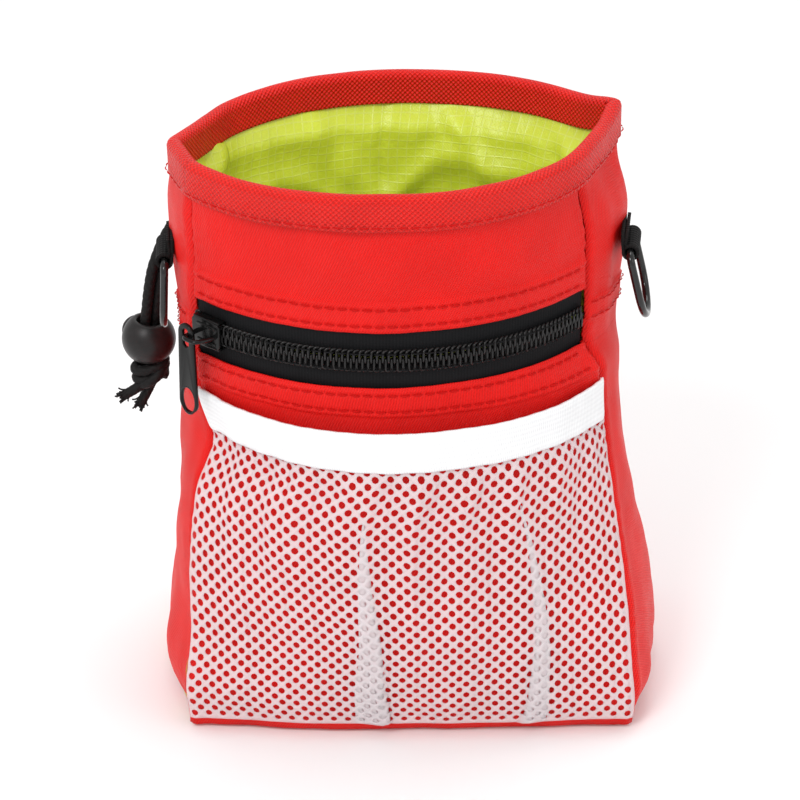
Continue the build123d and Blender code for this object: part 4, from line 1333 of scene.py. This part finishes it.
def make_lock():
    x, y, z, push = lock_axes()
    half = LOCK_H / 2
    lip = math.sqrt(LOCK_R**2 - half**2)
    start = math.asin(half / LOCK_R)
    profile = []
    for k in range(6):
        a = math.radians(180 - 90 * k / 5)
        profile.append((LOCK_BORE + 0.75 + 0.75 * math.cos(a), half - 0.75 + 0.75 * math.sin(a)))
    for k in range(25):
        a = (start - 0.06) * (1 - 2 * k / 24)
        profile.append((LOCK_R * math.cos(a), LOCK_R * math.sin(a)))
    for k in range(6):
        a = math.radians(-90 - 90 * k / 5)
        profile.append((LOCK_BORE + 0.75 + 0.75 * math.cos(a), -half + 0.75 + 0.75 * math.sin(a)))
    barrel = closed_lathe("lock_barrel", profile[::-1], 96)
    fix_normals(barrel)
    in_frame(barrel, LOCK_AT, x, y, z)
    side = np.cross(z, push)
    hole = closed_lathe("hole", [(0.01, -6.4), (PLUNGER_R + 0.18, -6.4), (PLUNGER_R + 0.18, 12), (0.01, 12)], 64)
    fix_normals(hole)
    in_frame(hole, LOCK_AT, z, side, push)
    subtract(barrel, hole)
    barrel.data.set_sharp_from_angle(angle=math.radians(40))
    finish_piece(barrel, "cord_lock", M["lock"], "black_lock", "cord_lock_barrel")
    r, face = PLUNGER_R - 0.05, PLUNGER_OUT
    stem = [(0.01, -3.6), (r, -3.6), (r, face - 1.3), (r - 0.15, face - 0.7), (r - 0.55, face - 0.2), (r - 1.1, face),
            (r - 1.6, face - 0.05), (1.2, face - 0.35), (0.01, face - 0.4)]
    plunger = lathe("lock_plunger", stem, 64)
    fix_normals(plunger)
    plunger.data.set_sharp_from_angle(angle=math.radians(40))
    in_frame(plunger, LOCK_AT, z, side, push)
    finish_piece(plunger, "lock_button", M["lock"], "black_lock", "cord_lock_plunger")
    turns = [(2.2 * math.cos(a), 2.2 * math.sin(a), -6.2 + 2.4 * a / (8 * math.pi)) for a in np.linspace(0, 8 * math.pi, 120)]
    spring = in_frame(tube("lock_spring", turns, 0.25, 8), LOCK_AT, z, side, push)
    finish_piece(spring, "cord_lock", M["steel"], "spring_steel", "cord_lock_spring")


def fix_normals(obj):
    shape = bmesh.new()
    shape.from_mesh(obj.data)
    bmesh.ops.recalc_face_normals(shape, faces=shape.faces)
    shape.to_mesh(obj.data)
    shape.free()


# ---- Gusset fittings --------------------------------------------------------------------------
def gusset_axes(side, yaw, z):
    """Origin on the gusset where it faces yaw degrees from +X, then its level, up and out vectors."""
    t = np.linspace(0.0, 1.0, 400)
    normals = wall_normal(side, t, np.full_like(t, z))
    a = math.radians(yaw)
    out = np.array([math.cos(a), math.sin(a), 0.0])
    best = t[np.argmax(normals @ out)]
    origin = wall_point(side, np.array([best]), np.array([z]))[0]
    return origin, np.array([-math.sin(a), math.cos(a), 0.0]), np.array([0.0, 0.0, 1.0]), out


RING_OUT = RING_WIRE + TAB_T + 0.75


def d_path():
    """The D's centreline: a bar on top and a bow below."""
    half, c = RING_W / 2, RING_CORNER
    straight = RING_H - half
    points = [(x, 0.0, 0.0) for x in np.linspace(-half + c, half - c, 20)]
    points += [(half - c + c * math.sin(a), -c + c * math.cos(a), 0.0) for a in np.linspace(0.2, math.pi / 2, 6)]
    points += [(half, -y, 0.0) for y in np.linspace(c + 1, straight, 10)]
    points += [(half * math.cos(a), -straight - half * math.sin(a), 0.0) for a in np.linspace(0.1, math.pi - 0.1, 30)]
    points += [(-half, -y, 0.0) for y in np.linspace(straight, c + 1, 10)]
    points += [(-half + c - c * math.cos(a), -c + c * math.sin(a), 0.0) for a in np.linspace(0, math.pi / 2 - 0.2, 6)]
    return resample(points, 0.5, closed=True)


def make_rings():
    for side in ("left", "right"):
        origin, level, up, out = gusset_axes(side, RING_YAW[side], RING_Z)
        a = math.radians(RING_LEAN[side])
        down = up * math.cos(a) - out * math.sin(a)
        ring = tube(f"{side}_d_ring", d_path(), RING_WIRE, 18, closed=True)
        in_frame(ring, origin + out * RING_OUT, level, down, np.cross(level, down))
        finish_piece(ring, f"{side}_d_ring", M["ring"], "black_plastic", f"{side}_ring")
        make_tab(side, origin, level, up, out)


def make_tab(side, origin, level, up, out):
    """Webbing folded round the bar. Both ends run up and are sewn to the gusset."""
    eye = RING_WIRE + 0.3 + TAB_T / 2
    profile = [(-eye + 0.9, TAB_RISE), (-eye + 0.75, 4.5), (-eye + 0.35, 2.6)]
    profile += [(eye * math.cos(a), eye * math.sin(a)) for a in np.linspace(math.radians(150), math.radians(-190), 26)]
    profile += [(-eye - 0.25, 2.6), (-eye - 0.35, 4.5), (-eye - 0.35, TAB_RISE)]
    profile = [(RING_OUT + x, y) for x, y in profile]
    across = np.linspace(-TAB_W / 2, TAB_W / 2, 20)
    points = np.array([[origin + level * w + out * max(o, 0.35) + up * h for w in across] for o, h in profile])
    length = np.concatenate([[0], np.cumsum([math.dist(a, b) for a, b in zip(profile, profile[1:])])])
    uvs = np.stack(np.meshgrid(across, length), -1)
    obj = thicken(grid_object(f"{side}_tab", points, uvs), 1.0, 0.0)
    finish_piece(obj, "pouch", M["webbing"], "black_webbing", f"{side}_ring_tab")


def make_eyelet():
    origin, level, up, out = gusset_axes("left", EXIT_YAW, EXIT_Z)
    r = EXIT_R
    profile = [(r - 0.3, -1.2), (r - 0.35, 0.9), (r - 0.1, 1.45), (r + 0.7, 1.75), (r + 1.5, 1.55), (r + 1.95, 1.0),
               (r + 1.9, 0.5), (r + 0.3, 0.6), (r + 0.1, -1.2)]
    obj = closed_lathe("eyelet", profile, 56)
    fix_normals(obj)
    in_frame(obj, origin, level, up, out)
    finish_piece(obj, "pouch", M["enamel"], "black_metal", "cord_eyelet")


# ---- Back -------------------------------------------------------------------------------------
def clip_axes():
    a = math.radians(MOUTH_TWIST)
    x, y = to_world((0, BACK_C + BACK_R))
    across = np.array([-math.cos(a), -math.sin(a), 0.0])
    return np.array([x, y, CLIP_Z]), across, np.array([0.0, 0.0, 1.0]), np.array([-math.sin(a), math.cos(a), 0.0])


def make_back():
    origin, across, up, out = clip_axes()
    half = PATCH_W / 2 / BACK_R / (2 * math.asin(BACK_HALF / BACK_R))
    low, high = CLIP_Z - PATCH_H + 4, CLIP_Z + 4
    t, z = np.meshgrid(np.linspace(0.5 - half, 0.5 + half, 60), np.linspace(low, high, 50))
    lift = 1.25 - 0.45 * near(t, 0.5 - half, 0.006) - 0.45 * near(t, 0.5 + half, 0.006)
    calm = relief("back", t, z) * 0.35
    patch = grid_object("patch", place("back", t, z, calm + lift), np.stack([t * 115, z], -1))
    finish_piece(thicken(patch, 1.2), "pouch", M["webbing"], "black_webbing", "clip_patch")
    rows = []
    for height in (low + 2.5, high - 2.5):
        tt = np.linspace(0.5 - half * 0.88, 0.5 + half * 0.88, 120)
        zz = np.full_like(tt, height)
        rows.append((place("back", tt, zz, relief("back", tt, zz) * 0.35 + 1.35), wall_normal("back", tt, zz)))
    for edge in (0.5 - half * 0.88, 0.5 + half * 0.88):
        zz = np.linspace(low + 2.5, high - 2.5, 120)
        tt = np.full_like(zz, edge)
        rows.append((place("back", tt, zz, relief("back", tt, zz) * 0.35 + 1.35), wall_normal("back", tt, zz)))
    finish_piece(stitches("patch_stitches", rows), "pouch", M["cord"], "black_webbing")
    make_clip(origin, across, up, out)


def make_clip(origin, across, up, out):
    """The spring clip: a strip of constant width with rounded ends, following its bent profile."""
    z0 = 0.15 + PATCH_T + 0.55 + CLIP_T / 2
    z1 = z0 + CLIP_GAP + CLIP_T
    r = (z1 - z0) / 2
    line = [(y, z0) for y in np.linspace(-32.0, 0.0, 24)]
    line += [(r * math.sin(a), z0 + r - r * math.cos(a)) for a in np.linspace(0.2, math.pi - 0.2, 12)]
    line += [(y, z1 + 1.2 * y / (CLIP_L - 10)) for y in np.linspace(0, -CLIP_L + 10, 26)]
    tip = line[-1]
    line += [(tip[0] - d, tip[1] + 0.48 * d) for d in (1.4, 2.8, 4.2, 5.6, 6.4, 6.9)]
    line = np.array(line)
    s = np.concatenate([[0], np.cumsum(np.hypot(*np.diff(line, axis=0).T))])
    end = np.minimum(s, s[-1] - s)
    half = CLIP_W / 2 - 3.5 * (1 - np.sqrt(np.clip(1 - (1 - np.clip(end / 3.5, 0, 1)) ** 2, 0, 1)))
    w = np.linspace(-1, 1, 17)
    points = np.array([[origin + across * wi * h + up * y + out * z for wi in w] for (y, z), h in zip(line, half)])
    uvs = np.stack(np.meshgrid(w * CLIP_W / 2, s), -1)
    strip = thicken(grid_object("clip", points, uvs), CLIP_T * 0.92, 0.0)
    round_edges(strip, 0.3, 3, 50)
    finish_piece(strip, "pouch", M["steel"], "clip_steel", "belt_clip")
    heads = []
    dome = [(0.01, 1.15), (1.2, 1.1), (2.3, 0.85), (3.1, 0.45), (RIVET_HEAD_R, 0.0), (RIVET_HEAD_R - 0.2, -0.15), (1.6, -0.15),
            (1.6, -5.3), (RIVET_HEAD_R, -5.3), (RIVET_HEAD_R - 0.3, -6.0), (0.01, -6.1)]
    for y in RIVET_Y:
        head = lathe("head", dome, 40)
        fix_normals(head)
        heads.append(in_frame(head, origin + up * y + out * (z0 + CLIP_T / 2 + 0.1), across, up, out))
    finish_piece(join("rivets", heads), "pouch", M["steel"], "clip_steel", "clip_rivets")


def make_zip_pocket():
    """The zip pocket's rear wall, out of sight between shell and lining."""
    t, z = np.meshgrid(np.linspace(0.01, 0.99, 60), np.linspace(40, ZIP_Z + ZIP_OPEN / 2 + 6, 40))
    out = -3.9 + 0.3 * lumps(wall_point("front", t, z), 15, 2.0)
    obj = grid_object("zip_pocket", place("front", t, z, out), np.stack([t * 123, z], -1))
    finish_piece(thicken(obj, 0.3), "pouch", M["lining"], "lime_lining", "zip_pocket_backing")


make_camera()
make_cords()
make_shell()
make_binding()
make_lining()
make_zip_pocket()
make_zipper()
make_pocket()
make_lock()
make_rings()
make_eyelet()
make_back()
make_studio()
